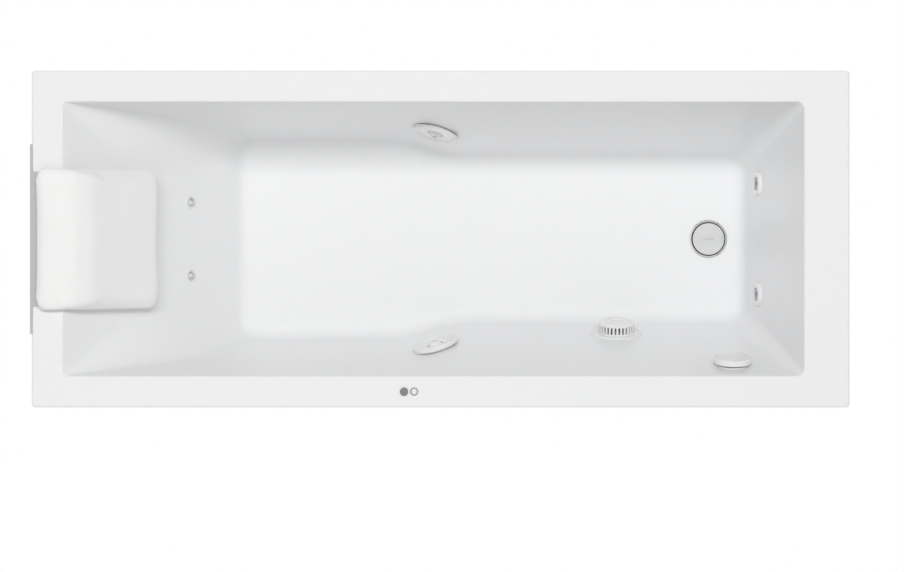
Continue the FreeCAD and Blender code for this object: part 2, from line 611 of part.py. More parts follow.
def overflow():
    point, outward = wall_point("overflow")
    inward = outward * -1
    stem_r = 5
    depth = SKINS + S.overflow_depth
    faceplate = turned("overflow_faceplate", [
        (S.overflow_hole - 4, -SKINS - 2), (S.overflow_hole - 0.5, -SKINS - 2), (S.overflow_hole - 0.5, 0),
        (S.overflow_hole + 8, 0), (S.overflow_hole + 8, 3), (S.overflow_hole - 4, 3)], tuple(point), inward)
    pot = turned("overflow_pot", [
        (0, -depth), (S.overflow_hole, -depth), (S.overflow_hole + 6, -depth + 6),
        (S.overflow_hole + 6, -SKINS - 4), (S.overflow_hole - 4, -SKINS - 4), (S.overflow_hole - 4, -depth + 3),
        (stem_r + S.fit_gap, -depth + 3), (stem_r + S.fit_gap, -depth + 1.5), (0, -depth + 1.5)], tuple(point), inward)
    hose_top = HOSE_POINTS[0]
    spigot = rod("overflow_spigot", hose_top, S.overflow_hose, 14)
    boss = rod("overflow_cable_boss", CABLE_POINTS[0], BOSS_R, 14)
    keep(group("overflow_body", faceplate, fuse("overflow_elbow", pot, spigot, boss)), "overflow_body")
    seals.append(turned("overflow_seal", [
        (S.overflow_hole - 0.5, -SKINS - 4), (S.overflow_hole + 6, -SKINS - 4), (S.overflow_hole + 6, -SKINS),
        (S.overflow_hole - 0.5, -SKINS)], tuple(point), inward))
    knob_low = 7
    keep(turned("overflow_knob", [
        (0, -depth + 4), (stem_r, -depth + 4), (stem_r, knob_low), (S.overflow_knob_r - 4, knob_low),
        (S.overflow_knob_r, knob_low + 1), (S.overflow_knob_r, knob_low + 9),
        (S.overflow_knob_r - 3, knob_low + 12), (0, knob_low + 14)], tuple(point), inward), "overflow_knob")
    hose = bent_tube(HOSE_POINTS, S.hose_bend, S.overflow_hose, S.overflow_bore)
    keep(shaped("overflow_hose", hose), "overflow_hose")
    keep(shaped("overflow_cable", bent_tube(CABLE_POINTS, S.cable_bend, S.cable_r)), "overflow_cable")


def hose_points():
    """Down behind the wall, and in under the floor to the waste."""
    point, outward = wall_point("overflow")
    start = shifted(point, outward, SKINS + S.overflow_depth / 2)
    low = float(HOSE_LOW_Z)
    wall_y = -wall_at(FLOOR_NARROW, NARROW_LEAN, low, float(SKINS + S.hose_off_wall))
    end_y = -float(S.drain_pipe) - 5 - SPIGOT_OUT + 1
    drain_x = float(DRAIN_X)
    return [(point.x, start.y, start.z - 30), (point.x, start.y, start.z - 40), (point.x, wall_y, low),
            (drain_x, end_y - 30, low), (drain_x, end_y, low)]


def cable_points():
    """The pull cable runs down beside the hose and into the side of the waste."""
    beside = [(x - float(S.cable_off_hose), y, z) for x, y, z in HOSE_POINTS[:3]]
    low = HOSE_POINTS[-1][2]
    end_x, end_y = float(DRAIN_X - S.waste_boss_off), -float(S.drain_pipe) - 5 - BOSS_OUT
    return beside + [(end_x, end_y - 40, low), (end_x, end_y, low)]


HOSE_POINTS = hose_points()
CABLE_POINTS = cable_points()


# ---- the suction fitting ----------------------------------------------------------------------------

def suction():
    point, outward = wall_point("suction")
    inward = outward * -1
    throat = S.suction_hole - 4
    rim = turned("suction_flange_rim", [
        (throat, -SKINS - 16), (S.suction_hole - 0.5, -SKINS - 16), (S.suction_hole - 0.5, 0),
        (S.suction_flange_r, 0), (S.suction_flange_r, 2), (S.suction_flange_r - 2, 4), (throat, 4)],
        tuple(point), inward)
    keep(cut("suction_flange", fuse("suction_rim_and_spider", rim, *spider(point, inward)),
             rod("spider_bore", tuple(shifted(point, inward, -30)), 4 + S.clear_gap, 36, inward)), "suction_flange")
    seals.append(turned("suction_seal", [
        (S.suction_hole - 0.3, -SKINS - 4), (S.suction_hole + 12, -SKINS - 4), (S.suction_hole + 12, -SKINS),
        (S.suction_hole - 0.3, -SKINS)], tuple(point), inward))
    elbow_deep = S.suction_depth
    pot = turned("suction_pot", [
        (0, -elbow_deep - S.suction_pipe_r), (S.suction_pipe_r, -elbow_deep - S.suction_pipe_r),
        (S.suction_hole + 4, -elbow_deep - 14), (S.suction_hole + 4, -SKINS - 10),
        (S.suction_hole + 12, -SKINS - 10), (S.suction_hole + 12, -SKINS - 4), (S.suction_hole, -SKINS - 4),
        (S.suction_hole, -elbow_deep - 12), (S.suction_bore, -elbow_deep - S.suction_pipe_r + 4),
        (0, -elbow_deep - S.suction_pipe_r + 4)], tuple(point), inward)
    start = shifted(point, outward, elbow_deep)
    spigot = rod("suction_spigot", tuple(start), S.suction_pipe_r + 4, S.suction_spigot, -AXES["X"])
    bore = rod("suction_spigot_bore", tuple(start), S.suction_bore, S.suction_spigot, -AXES["X"])
    keep(cut("suction_body", fuse("suction_with_spigot", pot, spigot), bore), "suction_body")
    suction_grille(point, inward)
    end = (PUMP_X, VOLUTE_Y - S.port_out, PUMP_Z)
    path = [(start.x - float(S.suction_spigot), start.y, start.z),
            (float(PUMP_X + S.suction_level_run), start.y, start.z),
            (float(PUMP_X), start.y, float(PUMP_Z)), tuple(float(part) for part in end)]
    tube = bent_tube(path, S.suction_bend, S.suction_pipe_r, S.suction_bore)
    keep(shaped("suction_pipe", tube), "suction_pipe")


def suction_grille(point, inward):
    """A drum with slots all round its side and a low dome, held by one screw in the middle."""
    low = 4
    top = low + S.grille_high
    inner = S.grille_r - S.grille_wall
    body = turned("grille_drum", [
        (S.grille_r, low), (S.grille_r, top - 6), (S.grille_r - 8, top - 1), (6, top), (6, top - 3),
        (inner - 8, top - 5), (inner, top - 8), (inner, low)], tuple(point), inward)
    slot = profile_sketch(body, "grille_slot_outline", [
        (inner - 4, low + 3), (S.grille_r + 2, low + 3), (S.grille_r + 2, top - 8), (inner - 4, top - 8)])
    pocket = body.newObject("PartDesign::Pocket", "grille_slot")
    pocket.Profile = slot
    pocket.SideType = "Symmetric"
    pocket.Length = 4.0
    body.Tip = pocket
    repeat_round(body, pocket, 30)
    screw = turned("grille_screw", [
        (0, low - 12), (4, low - 12), (4, top - 0.2), (10, top), (10, top + 1), (6, top + 2.4), (0, top + 2.4)],
        tuple(point), inward)
    keep(group("suction_grille", body, screw), "suction_grille")


def spider(point, inward):
    """The boss in the middle of the flange that takes the grille's screw, and its arms."""
    boss = rod("spider_boss", tuple(shifted(point, inward, -10)), 8, 11, inward)
    reach = S.suction_hole - 3
    centre = shifted(point, inward, -6)
    across = inward.cross(AXES["X"])
    arms = [rod(f"spider_arm_{number}", tuple(shifted(centre, way, -float(reach))), 2.5, 2 * reach, way)
            for number, way in enumerate((AXES["X"], across))]
    return [boss, *arms]


# ---- the jets ---------------------------------------------------------------------------------------

def jet_body(name, point, outward, flange, hole, bore, deep, collar):
    """The moulded body behind the wall, clamped to it by the collar inside the bath."""
    inward = outward * -1
    nut = hole + 9
    barrel = hole - 3
    return turned(name, [
        (0, -deep), (barrel - 4, -deep), (barrel, -deep + 5), (barrel, -SKINS - 16), (nut, -SKINS - 14),
        (nut, -SKINS - 2.5),
        (hole - 0.5, -SKINS - 2.5), (hole - 0.5, 0), (flange, 0), (flange, collar * 0.6), (flange - 2, collar),
        (bore, collar), (bore, -SKINS - 12), (bore * 0.5, -SKINS - 20), (0, -SKINS - 20)], tuple(point), inward)


def side_jets():
    bodies = []
    for side, point, outward in both_sides("side_jet"):
        inward = outward * -1
        bore = S.side_jet_hole - 5
        body = jet_body(f"side_jet_blank_{side}", point, outward, SIDE_JET_SEAT, S.side_jet_hole, bore,
                        S.side_jet_deep, 3)
        label = f"side_jet_body_{side}"
        bodies.append(fuse(label, body, *jet_spigots("side_jet", side)))
        ring_low = 3.4
        dish = S.side_jet_r - 8
        socket = 17
        keep(turned(f"side_jet_ring_{side}", [
            (socket + 3, -10), (bore - S.clear_gap, -10), (bore - S.clear_gap, ring_low),
            (S.side_jet_r, ring_low), (S.side_jet_r, ring_low + 7), (S.side_jet_r - 3, ring_low + 10),
            (dish, ring_low + 9), (dish - 6, ring_low + 5), (socket, ring_low + 3), (socket, -4),
            (socket + 3, -7)], tuple(point), inward), f"side_jet_ring_{side}")
        ball = socket - S.clear_gap
        keep(turned(f"side_jet_nozzle_{side}", [
            (5, -8), (ball * 0.6, -8), (ball * 0.9, -4), (ball, 0), (ball * 0.95, 4), (ball * 0.7, 9),
            (8, 11), (7, 13), (5, 13)], tuple(point), inward), f"side_jet_nozzle_{side}")
    keep(group("side_jet_bodies", *bodies), "side_jet_bodies")


JET_SPIGOT_R = {"side_jet": 13, "foot_jet": 11}


def branch_spots(kind, medium):
    """Where the axes of a kind of jet body pass under the water or the air pipe, and the branch's radius and top."""
    if kind == "side_jet":
        offset = WATER_Y if medium == "water" else AIR_Y
    else:
        offset = WATER_FOOT_X if medium == "water" else AIR_FOOT_X
    radius = JET_SPIGOT_R[kind] if medium == "water" else S.air_r - 2
    top = WATER_Z - S.water_r - S.stub_long if medium == "water" else AIR_Z - S.air_r - S.stub_long
    spots = {}
    for side, point, outward in both_sides(kind):
        start, slope = (abs(point.y), abs(outward.y)) if kind == "side_jet" else (point.x, outward.x)
        spots[side] = shifted(point, outward, (float(offset) - start) / slope)
    return spots, radius, top


def jet_spigots(kind, side):
    """Upright water and air branches on a jet body."""
    spigots = []
    for medium in ("water", "air"):
        spots, radius, top = branch_spots(kind, medium)
        spigots.append(rod(f"{kind}_{medium}_{side}", tuple(spots[side]), radius, top - spots[side].z))
    return spigots


def pipe_stubs(kind, medium, sides):
    """Short stubs under a pipe run, each standing on the branch of a jet body."""
    spots, radius, top = branch_spots(kind, medium)
    rise = S.stub_long + (S.water_r * 0.45 if medium == "water" else S.air_r / 2)
    return [rod(f"stub_{kind}_{medium}_{side}", (spots[side].x, spots[side].y, top), radius + 1, rise)
            for side in sides]


def foot_jets():
    bodies = []
    for side, point, outward in both_sides("foot_jet"):
        bore = S.foot_jet_hole - 4
        body = jet_body(f"foot_jet_blank_{side}", point, outward, S.foot_jet_r, S.foot_jet_hole, bore,
                        S.foot_jet_deep, 6)
        label = f"foot_jet_body_{side}"
        bodies.append(fuse(label, body, *jet_spigots("foot_jet", side)))
        ball = bore - S.clear_gap
        keep(turned(f"foot_jet_nozzle_{side}", [
            (6, -9), (ball * 0.7, -9), (ball, -3), (ball, 0), (ball * 0.75, 4.5), (6, 4.5)],
            tuple(point), outward * -1), f"foot_jet_nozzle_{side}")
    keep(group("foot_jet_bodies", *bodies), "foot_jet_bodies")


def back_jets():
    bodies = []
    for side, point, outward in both_sides("back_jet"):
        inward = outward * -1
        lean = float(HEAD_LEAN)
        up_slope = Vector(-lean, 0, 1).normalize()
        bore = S.back_jet_hole - 3
        body = turned(f"back_jet_blank_{side}", [
            (0, -S.back_jet_deep), (S.back_jet_hole, -S.back_jet_deep), (S.back_jet_hole, -SKINS - 14),
            (S.back_jet_hole + 6, -SKINS - 12), (S.back_jet_hole + 6, -SKINS - 2.5),
            (S.back_jet_hole - 0.5, -SKINS - 2.5), (S.back_jet_hole - 0.5, 0), (S.back_jet_r, 0),
            (S.back_jet_r - 1, 2), (bore, 2), (bore, -SKINS - 10), (0, -SKINS - 10)], tuple(point), inward)
        start = shifted(point, outward, S.back_jet_deep - S.hose_r - 1)
        label = f"back_jet_body_{side}"
        spigot = rod(f"{label}_spigot", tuple(start), S.hose_r - 1, S.hose_spigot, up_slope)
        bodies.append(fuse(label, body, spigot))
        keep(turned(f"back_jet_nozzle_{side}", [
            (0, -6), (bore - S.clear_gap, -6), (bore - S.clear_gap, 2.4), (bore + 3, 2.4), (bore + 3, 4),
            (bore, 7), (3, 9), (0, 9)], tuple(point), inward), f"back_jet_nozzle_{side}")
    keep(group("back_jet_bodies", *bodies), "back_jet_bodies")


def jet_seals():
    for kind, hole in (("side_jet", S.side_jet_hole), ("foot_jet", S.foot_jet_hole), ("back_jet", S.back_jet_hole)):
        rim = 5 if kind == "back_jet" else 8
        for side, point, outward in both_sides(kind):
            seals.append(turned(f"seal_{kind}_{side}", [
                (hole - 0.3, -SKINS - 2.5), (hole + rim, -SKINS - 2.5), (hole + rim, -SKINS), (hole - 0.3, -SKINS)],
                tuple(point), outward * -1))
    keep(group("fitting_seals", *seals), "fitting_seals")


# ---- pipes ------------------------------------------------------------------------------------------

def elbow(name, corner, x_way, y_way, radius, reach):
    """A moulded elbow at a corner of a pipe ring, with one arm along X and one along Y."""
    heel = doc.addObject("Part::Sphere", name + "_heel")
    bind(heel, "Radius", radius)
    return fuse(name, place(heel, corner), rod(name + "_along", corner, radius, reach, AXES["X"] * x_way),
                rod(name + "_across", corner, radius, reach, AXES["Y"] * y_way))


def branched_pipe(name, start, length, direction, stubs):
    """A length of water pipe with its stubs, and one clear bore."""
    return cut(name, fuse(name + "_with_stubs", rod(name + "_outside", start, S.water_r, length, direction), *stubs),
               rod(name + "_bore", start, S.water_bore, length, direction))


def water_pipes():
    """The delivery ring round the bath: straight lengths between moulded elbows."""
    reach, z = S.water_r + 6, WATER_Z
    length = WATER_FOOT_X - WATER_HEAD_X - 2 * reach
    across = 2 * (WATER_Y - reach)
    runs = []
    for side, name in ((-1, "front"), (1, "back")):
        runs.append(branched_pipe(f"water_run_{name}", (WATER_HEAD_X + reach, side * WATER_Y, z), length, AXES["X"],
                                  pipe_stubs("side_jet", "water", [name])))
    hose_stubs = [rod(f"hose_stub_{side}", (WATER_HEAD_X, point.y, z), S.hose_r + 1, S.water_r + S.stub_long, AXES["X"])
                  for side, point, _ in both_sides("back_jet")]
    foot_stubs = pipe_stubs("foot_jet", "water", ["front", "back"])
    for x, x_way, name, stubs in ((WATER_HEAD_X, 1, "head", hose_stubs), (WATER_FOOT_X, -1, "foot", foot_stubs)):
        runs.append(branched_pipe(f"water_run_{name}", (x, -WATER_Y + reach, z), across, AXES["Y"], stubs))
        for side, side_name in ((-1, "front"), (1, "back")):
            runs.append(elbow(f"water_elbow_{name}_{side_name}", (x, side * WATER_Y, z), x_way, -side,
                              S.water_r + 3, reach))
    runs.append(rod("pump_riser", (WATER_HEAD_X, VOLUTE_Y + S.volute_wide / 2, PUMP_Z + S.volute_r - 4),
                    S.water_r, WATER_Z - S.water_r - PUMP_Z - S.volute_r + 4))
    keep(group("water_pipes", *runs), "water_pipes")


def air_pipes():
    """From the air control down to a smaller ring that feeds the side and foot jets."""
    z, r, reach = AIR_Z, S.air_r, S.air_r + 4
    ends = (("front", -1, S.knob_x - 12), ("back", 1, S.side_jet_x - 20))
    runs = []
    for name, side, start_x in ends:
        run = rod(f"air_tube_{name}", (start_x, side * AIR_Y, z), r, AIR_FOOT_X - reach - start_x, AXES["X"])
        runs.append(fuse(f"air_run_{name}", run, *pipe_stubs("side_jet", "air", [name])))
        runs.append(elbow(f"air_elbow_{name}", (AIR_FOOT_X, side * AIR_Y, z), -1, -side, r + 2, reach))
    run = rod("air_tube_foot", (AIR_FOOT_X, reach - AIR_Y, z), r, 2 * (AIR_Y - reach), AXES["Y"])
    runs.append(fuse("air_run_foot", run, *pipe_stubs("foot_jet", "air", ["front", "back"])))
    drop_top = RIM_UNDER - S.deck_body_high
    runs.append(rod("air_drop", (S.knob_x, -DECK_Y, z + r), r - 2, drop_top - z - r))
    keep(group("air_pipes", *runs), "air_pipes")


def back_jet_hoses():
    hoses = []
    for side, point, outward in both_sides("back_jet"):
        lean = float(HEAD_LEAN)
        up_slope = Vector(-lean, 0, 1).normalize()
        start = shifted(shifted(point, outward, S.back_jet_deep - S.hose_r - 1), up_slope, S.hose_spigot)
        rise = (float(WATER_Z) - start.z) / up_slope.z
        corner = shifted(start, up_slope, rise)
        end = (float(WATER_HEAD_X + S.water_r + S.stub_long), corner.y, corner.z)
        tube = bent_tube([tuple(start), tuple(corner), end], S.hose_bend, S.hose_r)
        hoses.append(shaped(f"back_jet_hose_{side}", tube))
    keep(group("back_jet_hoses", *hoses), "back_jet_hoses")


# ---- the pump ---------------------------------------------------------------------------------------

def pump_spot(y):
    return (PUMP_X, y, PUMP_Z)


def pump():
    along = AXES["Y"]
    face = VOLUTE_Y + S.volute_wide
    wall = 6
    inner = S.volute_r - wall
    volute = turned("volute_blank", [
        (inner, 0), (S.volute_r, 0), (S.volute_r, S.volute_wide - 6), (S.volute_r - 6, S.volute_wide),
        (S.shaft_r + 2, S.volute_wide), (S.shaft_r + 2, S.volute_wide - wall), (inner, S.volute_wide - wall)],
        pump_spot(VOLUTE_Y), along)
    outlet_y = VOLUTE_Y + S.volute_wide / 2
    outlet = rod("volute_outlet", (WATER_HEAD_X, outlet_y, PUMP_Z), S.water_r + 4, S.volute_r - 4)
    port = rod("volute_outlet_bore", (WATER_HEAD_X, outlet_y, PUMP_Z), S.water_bore, S.volute_r)
    chamber = rod("volute_chamber", pump_spot(VOLUTE_Y + 2), inner - 0.5, S.volute_wide - wall - 3, along)
    keep(cut("pump_volute", fuse("volute_with_outlet", volute, outlet), port, chamber), "pump_volute")
    keep(turned("pump_cover", [
        (S.suction_bore, -S.port_out), (S.suction_pipe_r + 4, -S.port_out), (S.suction_pipe_r + 4, -14), (inner, -8),
        (S.volute_r, -8), (S.volute_r, 0), (S.suction_bore, 0)], pump_spot(VOLUTE_Y), along), "pump_cover")
    keep(impeller(pump_spot(VOLUTE_Y + 8), along), "pump_impeller")
    motor(face, along)
    pump_base()


def impeller(spot, along):
    """A shrouded hub with curved vanes, patterned round the shaft."""
    body = turned("pump_impeller", [
        (S.shaft_r, 0), (S.shaft_r + 9, 0), (S.shaft_r + 12, 22), (S.impeller_r, 30), (S.impeller_r, 34),
        (S.shaft_r, 34)], spot, along)
    vane = profile_sketch(body, "vane_outline", [
        (S.shaft_r + 6, 12), (S.impeller_r - 4, 12), (S.impeller_r, 31), (S.shaft_r + 6, 31)])
    pad = body.newObject("PartDesign::Pad", "vane")
    pad.Profile = vane
    pad.SideType = "Symmetric"
    pad.Length = 3.5
    body.Tip = pad
    repeat_round(body, pad, 7)
    return body


def motor(face, along):
    """The finned motor housing, with what turns and what stands still inside it."""
    bore = S.motor_r - S.motor_wall
    length = S.motor_long
    housing = turned("motor_housing", [
        (S.bearing_r, 0), (S.motor_r + 6, 0), (S.motor_r + 6, 10), (S.motor_r, 14), (S.motor_r, length),
        (bore, length), (bore, 12), (S.bearing_r + 5, 12), (S.bearing_r + 5, 16), (S.bearing_r, 16)],
        pump_spot(face), along)
    fin = profile_sketch(housing, "fin_outline", [
        (S.motor_r - 1, 18), (S.motor_r + S.fin_high, 22), (S.motor_r + S.fin_high, length - 14),
        (S.motor_r - 1, length - 8)])
    pad = housing.newObject("PartDesign::Pad", "fin")
    pad.Profile = fin
    pad.SideType = "Symmetric"
    bind(pad, "Length", S.fin_thick)
    housing.Tip = pad
    repeat_round(housing, pad, S.fin_count)
    keep(housing, "motor_housing")
    stator_in = S.rotor_r + S.air_gap
    keep(turned("motor_stator", [
        (stator_in, 40), (bore, 40), (bore, length - 45), (stator_in, length - 45)], pump_spot(face), along),
        "motor_stator")
    end = length + 8
    keep(turned("motor_end_shield", [
        (S.bearing_r, length), (S.motor_r + 4, length), (S.motor_r + 4, end), (S.bearing_r, end)],
        pump_spot(face), along), "motor_end_shield")
    bearings = []
    for name, start in (("front", 2), ("back", length - 4)):
        low = as_size(start)
        bearings.append(turned(f"bearing_{name}", [
            (S.shaft_r + S.fit_gap, low), (S.bearing_r, low), (S.bearing_r, low + S.bearing_wide),
            (S.shaft_r + S.fit_gap, low + S.bearing_wide)], pump_spot(face), along))
    keep(group("motor_bearings", *bearings), "motor_bearings")
    shaft_front = S.volute_wide - 8
    keep(turned("motor_shaft", [
        (0, -shaft_front), (S.shaft_r, -shaft_front), (S.shaft_r, 42), (S.rotor_r, 42), (S.rotor_r, length - 47),
        (S.shaft_r, length - 47), (S.shaft_r, length + 34), (0, length + 34)], pump_spot(face), along),
        "motor_shaft")
    fan_low = length + 14
    fan = turned("cooling_fan", [
        (S.shaft_r, fan_low), (S.shaft_r + 7, fan_low), (S.shaft_r + 7, fan_low + 16), (S.shaft_r, fan_low + 16)],
        pump_spot(face), along)
    blade = profile_sketch(fan, "blade_outline", [
        (S.shaft_r + 5, fan_low + 2), (S.motor_r - 12, fan_low + 2), (S.motor_r - 12, fan_low + 14),
        (S.shaft_r + 5, fan_low + 14)])
    pad = fan.newObject("PartDesign::Pad", "blade")
    pad.Profile = blade
    pad.SideType = "Symmetric"
    pad.Length = 2.0
    fan.Tip = pad
    repeat_round(fan, pad, 9)
    keep(fan, "cooling_fan")
    cover_end = end + S.fan_deep
    outside, inside = S.motor_r + 4, S.motor_r + 2
    cover = turned("fan_cover", [
        (inside, end), (outside, end), (outside, cover_end - 8), (outside - 8, cover_end), (0, cover_end),
        (0, cover_end - 2), (inside - 8, cover_end - 2), (inside, cover_end - 9)], pump_spot(face), along)
    vent = profile_sketch(cover, "vent_outline", [
        (20, cover_end - 5), (inside - 12, cover_end - 5), (inside - 12, cover_end + 2), (20, cover_end + 2)])
    pocket = cover.newObject("PartDesign::Pocket", "vent")
    pocket.Profile = vent
    pocket.SideType = "Symmetric"
    pocket.Length = 4.0
    cover.Tip = pocket
    repeat_round(cover, pocket, 12)
    keep(cover, "fan_cover")
    terminal_box(face)


def terminal_box(face):
    low_z = PUMP_Z + S.motor_r - 2
    box = block("terminal_blank", (PUMP_X - 34, face + 60, low_z), (68, 74, 34))
    saddle = rod("terminal_saddle", pump_spot(face), S.motor_r + S.fin_high + 0.2, S.motor_long, AXES["Y"])
    keep(cut("terminal_box", box, saddle), "terminal_box")


def pump_base():
    plate_low = BOARD_UNDER
    plate_x = HEAD_RAIL_X - HALF_RAIL
    plate_long = PUMP_RAIL_X + HALF_RAIL - plate_x
    keep(block("pump_base", (plate_x, -S.base_front, plate_low),
               (plate_long, S.base_front + HALF_WIDTH - S.base_back_inset, S.base_thick)), "pump_base")
    mount_z = plate_low + S.base_thick
    cradle_z = mount_z + S.mount_high
    saddle_y = VOLUTE_Y + S.volute_wide + 20
    mounts = []
    for x_side in (-1, 1):
        for y in (saddle_y + 8, saddle_y + 112):
            spot = (PUMP_X + x_side * 52, y, mount_z)
            name = f"{x_side + 1}_{len(mounts)}"
            mounts.append(turned(f"mount_{name}", [
                (0, 0), (S.mount_r, 0), (S.mount_r - 3, S.mount_high / 2), (S.mount_r, S.mount_high),
                (0, S.mount_high)], spot))
    keep(group("pump_mounts", *mounts), "pump_mounts")
    feet = [block("cradle_plate", (PUMP_X - 66, saddle_y - 6, cradle_z), (132, 132, 5))]
    for number, y in enumerate((saddle_y + 22, saddle_y + 88)):
        feet.append(block(f"cradle_web_{number}", (PUMP_X - 42, y, cradle_z), (84, 10, S.motor_r)))
    barrel = rod("cradle_saddle", pump_spot(saddle_y - 20), S.motor_r + S.fin_high + 0.2, 200, AXES["Y"])
    keep(cut("pump_cradle", fuse("cradle_blank", *feet), barrel), "pump_cradle")


# ---- the control box and the cables ---------------------------------------------------------------------

def control_box():
    low_z = BOARD_UNDER + S.base_thick
    wall = 3
    high = S.box_high - S.lid_thick
    shell = cut("control_shell", block("control_outside", (BOX_X, BOX_Y, low_z), (S.box_long, S.box_wide, high)),
                block("control_inside", (BOX_X + wall, BOX_Y + wall, low_z + wall),
                      (S.box_long - 2 * wall, S.box_wide - 2 * wall, high)),
                rod("control_gland_hole", (BOX_X + wall + 1, GLAND_Y, GLAND_Z), S.gland_bore, wall + 2, -AXES["X"]))
    keep(block("control_box_lid", (BOX_X, BOX_Y, low_z + high), (S.box_long, S.box_wide, S.lid_thick)),
         "control_box_lid")
    gland = turned("mains_gland", [
        (S.gland_bore, 0), (S.gland_r, 0), (S.gland_r, 6), (S.gland_r - 3, 9), (S.gland_r - 3, 18),
        (S.gland_bore, 18)], (BOX_X, GLAND_Y, GLAND_Z), -AXES["X"])
    keep(group("control_box", shell, gland), "control_box")


GLAND_Y = BOX_Y + 20
GLAND_Z = BOARD_UNDER + S.base_thick + 40


def cables():
    face = VOLUTE_Y + S.volute_wide
    z, x = float(PUMP_Z + S.motor_r) + 20, float(PUMP_X) - 4
    lid_z = float(BOARD_UNDER + S.base_thick + S.box_high)
    box_y = float(BOX_Y + S.box_wide / 2)
    points = [(x, float(face + 134), z), (x, box_y, z), (x, box_y, lid_z)]
    keep(shaped("pump_cable", bent_tube(points, 22, 4)), "pump_cable")
    top_z = float(RIM_UNDER) - float(S.deck_body_high)
    deck_y, lane_z = -float(DECK_Y), top_z - 60
    lane_y = deck_y + 16
    head_x = float(HEAD_RAIL_X) + 42
    start_x = float(S.button_x)
    points = [(start_x, deck_y, top_z), (start_x, deck_y, top_z - 20), (start_x, lane_y, lane_z),
              (head_x, lane_y, lane_z), (head_x, float(BOX_Y) + 30, lane_z), (head_x, float(BOX_Y) + 30, lid_z)]
    keep(shaped("button_tube", bent_tube(points, 28, S.tube_r)), "button_tube")


# ---- the deck controls -----------------------------------------------------------------------------------

def deck_controls():
    top = S.rim_height
    under = -S.shell_wall - 0.2
    low = under - S.deck_body_high
    sleeve = S.deck_hole - 0.3
    pocket = -8.5 - S.button_travel
    keep(turned("button_collar", [
        (S.button_r + 0.3, -8), (sleeve, -8), (sleeve, 0), (S.collar_r, 0), (S.collar_r, 1.2),
        (S.collar_r - 0.8, 2), (S.button_r + 0.3, 2)], (S.button_x, -DECK_Y, top)), "button_collar")
    bellows = turned("button_bellows", [
        (0, low + S.shell_wall), (S.deck_body_r, low + S.shell_wall), (S.deck_body_r, under), (sleeve + 0.3, under),
        (sleeve + 0.3, pocket), (3, pocket), (3, pocket - 5), (0, pocket - 5)], (S.button_x, -DECK_Y, top))
    keep(turned("power_button", [
        (0, -8), (S.button_r, -8), (S.button_r, 1.6), (S.button_r - 1, 2.6), (0, 3)],
        (S.button_x, -DECK_Y, top)), "power_button")
    valve = turned("air_valve_body", [
        (0, low + S.shell_wall), (S.deck_body_r, low + S.shell_wall), (S.deck_body_r, under), (sleeve, under),
        (sleeve, 0), (3 + S.fit_gap, 0), (3 + S.fit_gap, -20), (0, -20)],
        (S.knob_x, -DECK_Y, top))
    keep(group("deck_control_bodies", bellows, valve), "deck_control_bodies")
    keep(turned("air_knob", [
        (0, -18), (3, -18), (3, 0.6), (S.knob_r, 0.6), (S.knob_r, S.knob_high - 1.5),
        (S.knob_r - 1.5, S.knob_high), (0, S.knob_high)], (S.knob_x, -DECK_Y, top)), "air_knob")


# ---- the headrest ------------------------------------------------------------------------------------------

def rest_section(y, share):
    """One slice of the cushion: over the rim and down the slope, thinner and shorter towards its sides."""
    lean = float(HEAD_LEAN)
    down = Vector(lean, 0, -1).normalize()
    square = Vector(1, 0, lean).normalize()
    lift = float(S.hanger_thick) + float(S.hanger_gap) / 2
    pull = 9 * (1 - share)
    rim_z = float(S.rim_height) + lift
    edge = Vector(-float(WELL_HEAD) + lift * lean * 0.6, 0, rim_z)
    low_drop = float(S.rest_reach) / down.x
    head = Vector(float(S.rest_inset - HALF_LENGTH) + pull, 0, rim_z)
    toe = Vector(-float(WELL_HEAD), 0, float(S.rim_height)) + down * (low_drop - pull) + square * lift
    over, thick = float(S.rest_over_rim) * share, float(S.rest_thick) * share
    edge_top = Vector(edge.x, 0, rim_z + over)
    slope_top = Vector(edge.x, 0, rim_z) + down * 70 + square * thick
    toe_top = toe + square * (thick * 0.55) - down * 8
    bend = (edge_top + slope_top) * 0.5 + (square + AXES["Z"]).normalize() * (9 * share)
    swell = (slope_top + toe_top) * 0.5 + square * (5 * share)
    corners = {"head": head, "edge": edge, "toe": toe, "toe_tip": toe + square * (thick * 0.3) + down * (6 * share),
               "toe_top": toe_top, "swell": swell, "slope_top": slope_top, "bend": bend, "edge_top": edge_top,
               "head_top": head + AXES["Z"] * (over * 0.8) + AXES["X"] * 6,
               "head_tip": head + AXES["Z"] * (over * 0.45) - AXES["X"] * (3 * share)}
    at = {name: Vector(corner.x, y, corner.z) for name, corner in corners.items()}
    return Part.Wire([
        Part.LineSegment(at["head"], at["edge"]).toShape(), Part.LineSegment(at["edge"], at["toe"]).toShape(),
        Part.Arc(at["toe"], at["toe_tip"], at["toe_top"]).toShape(),
        Part.Arc(at["toe_top"], at["swell"], at["slope_top"]).toShape(),
        Part.Arc(at["slope_top"], at["bend"], at["edge_top"]).toShape(),
        Part.LineSegment(at["edge_top"], at["head_top"]).toShape(),
        Part.Arc(at["head_top"], at["head_tip"], at["head"]).toShape()])


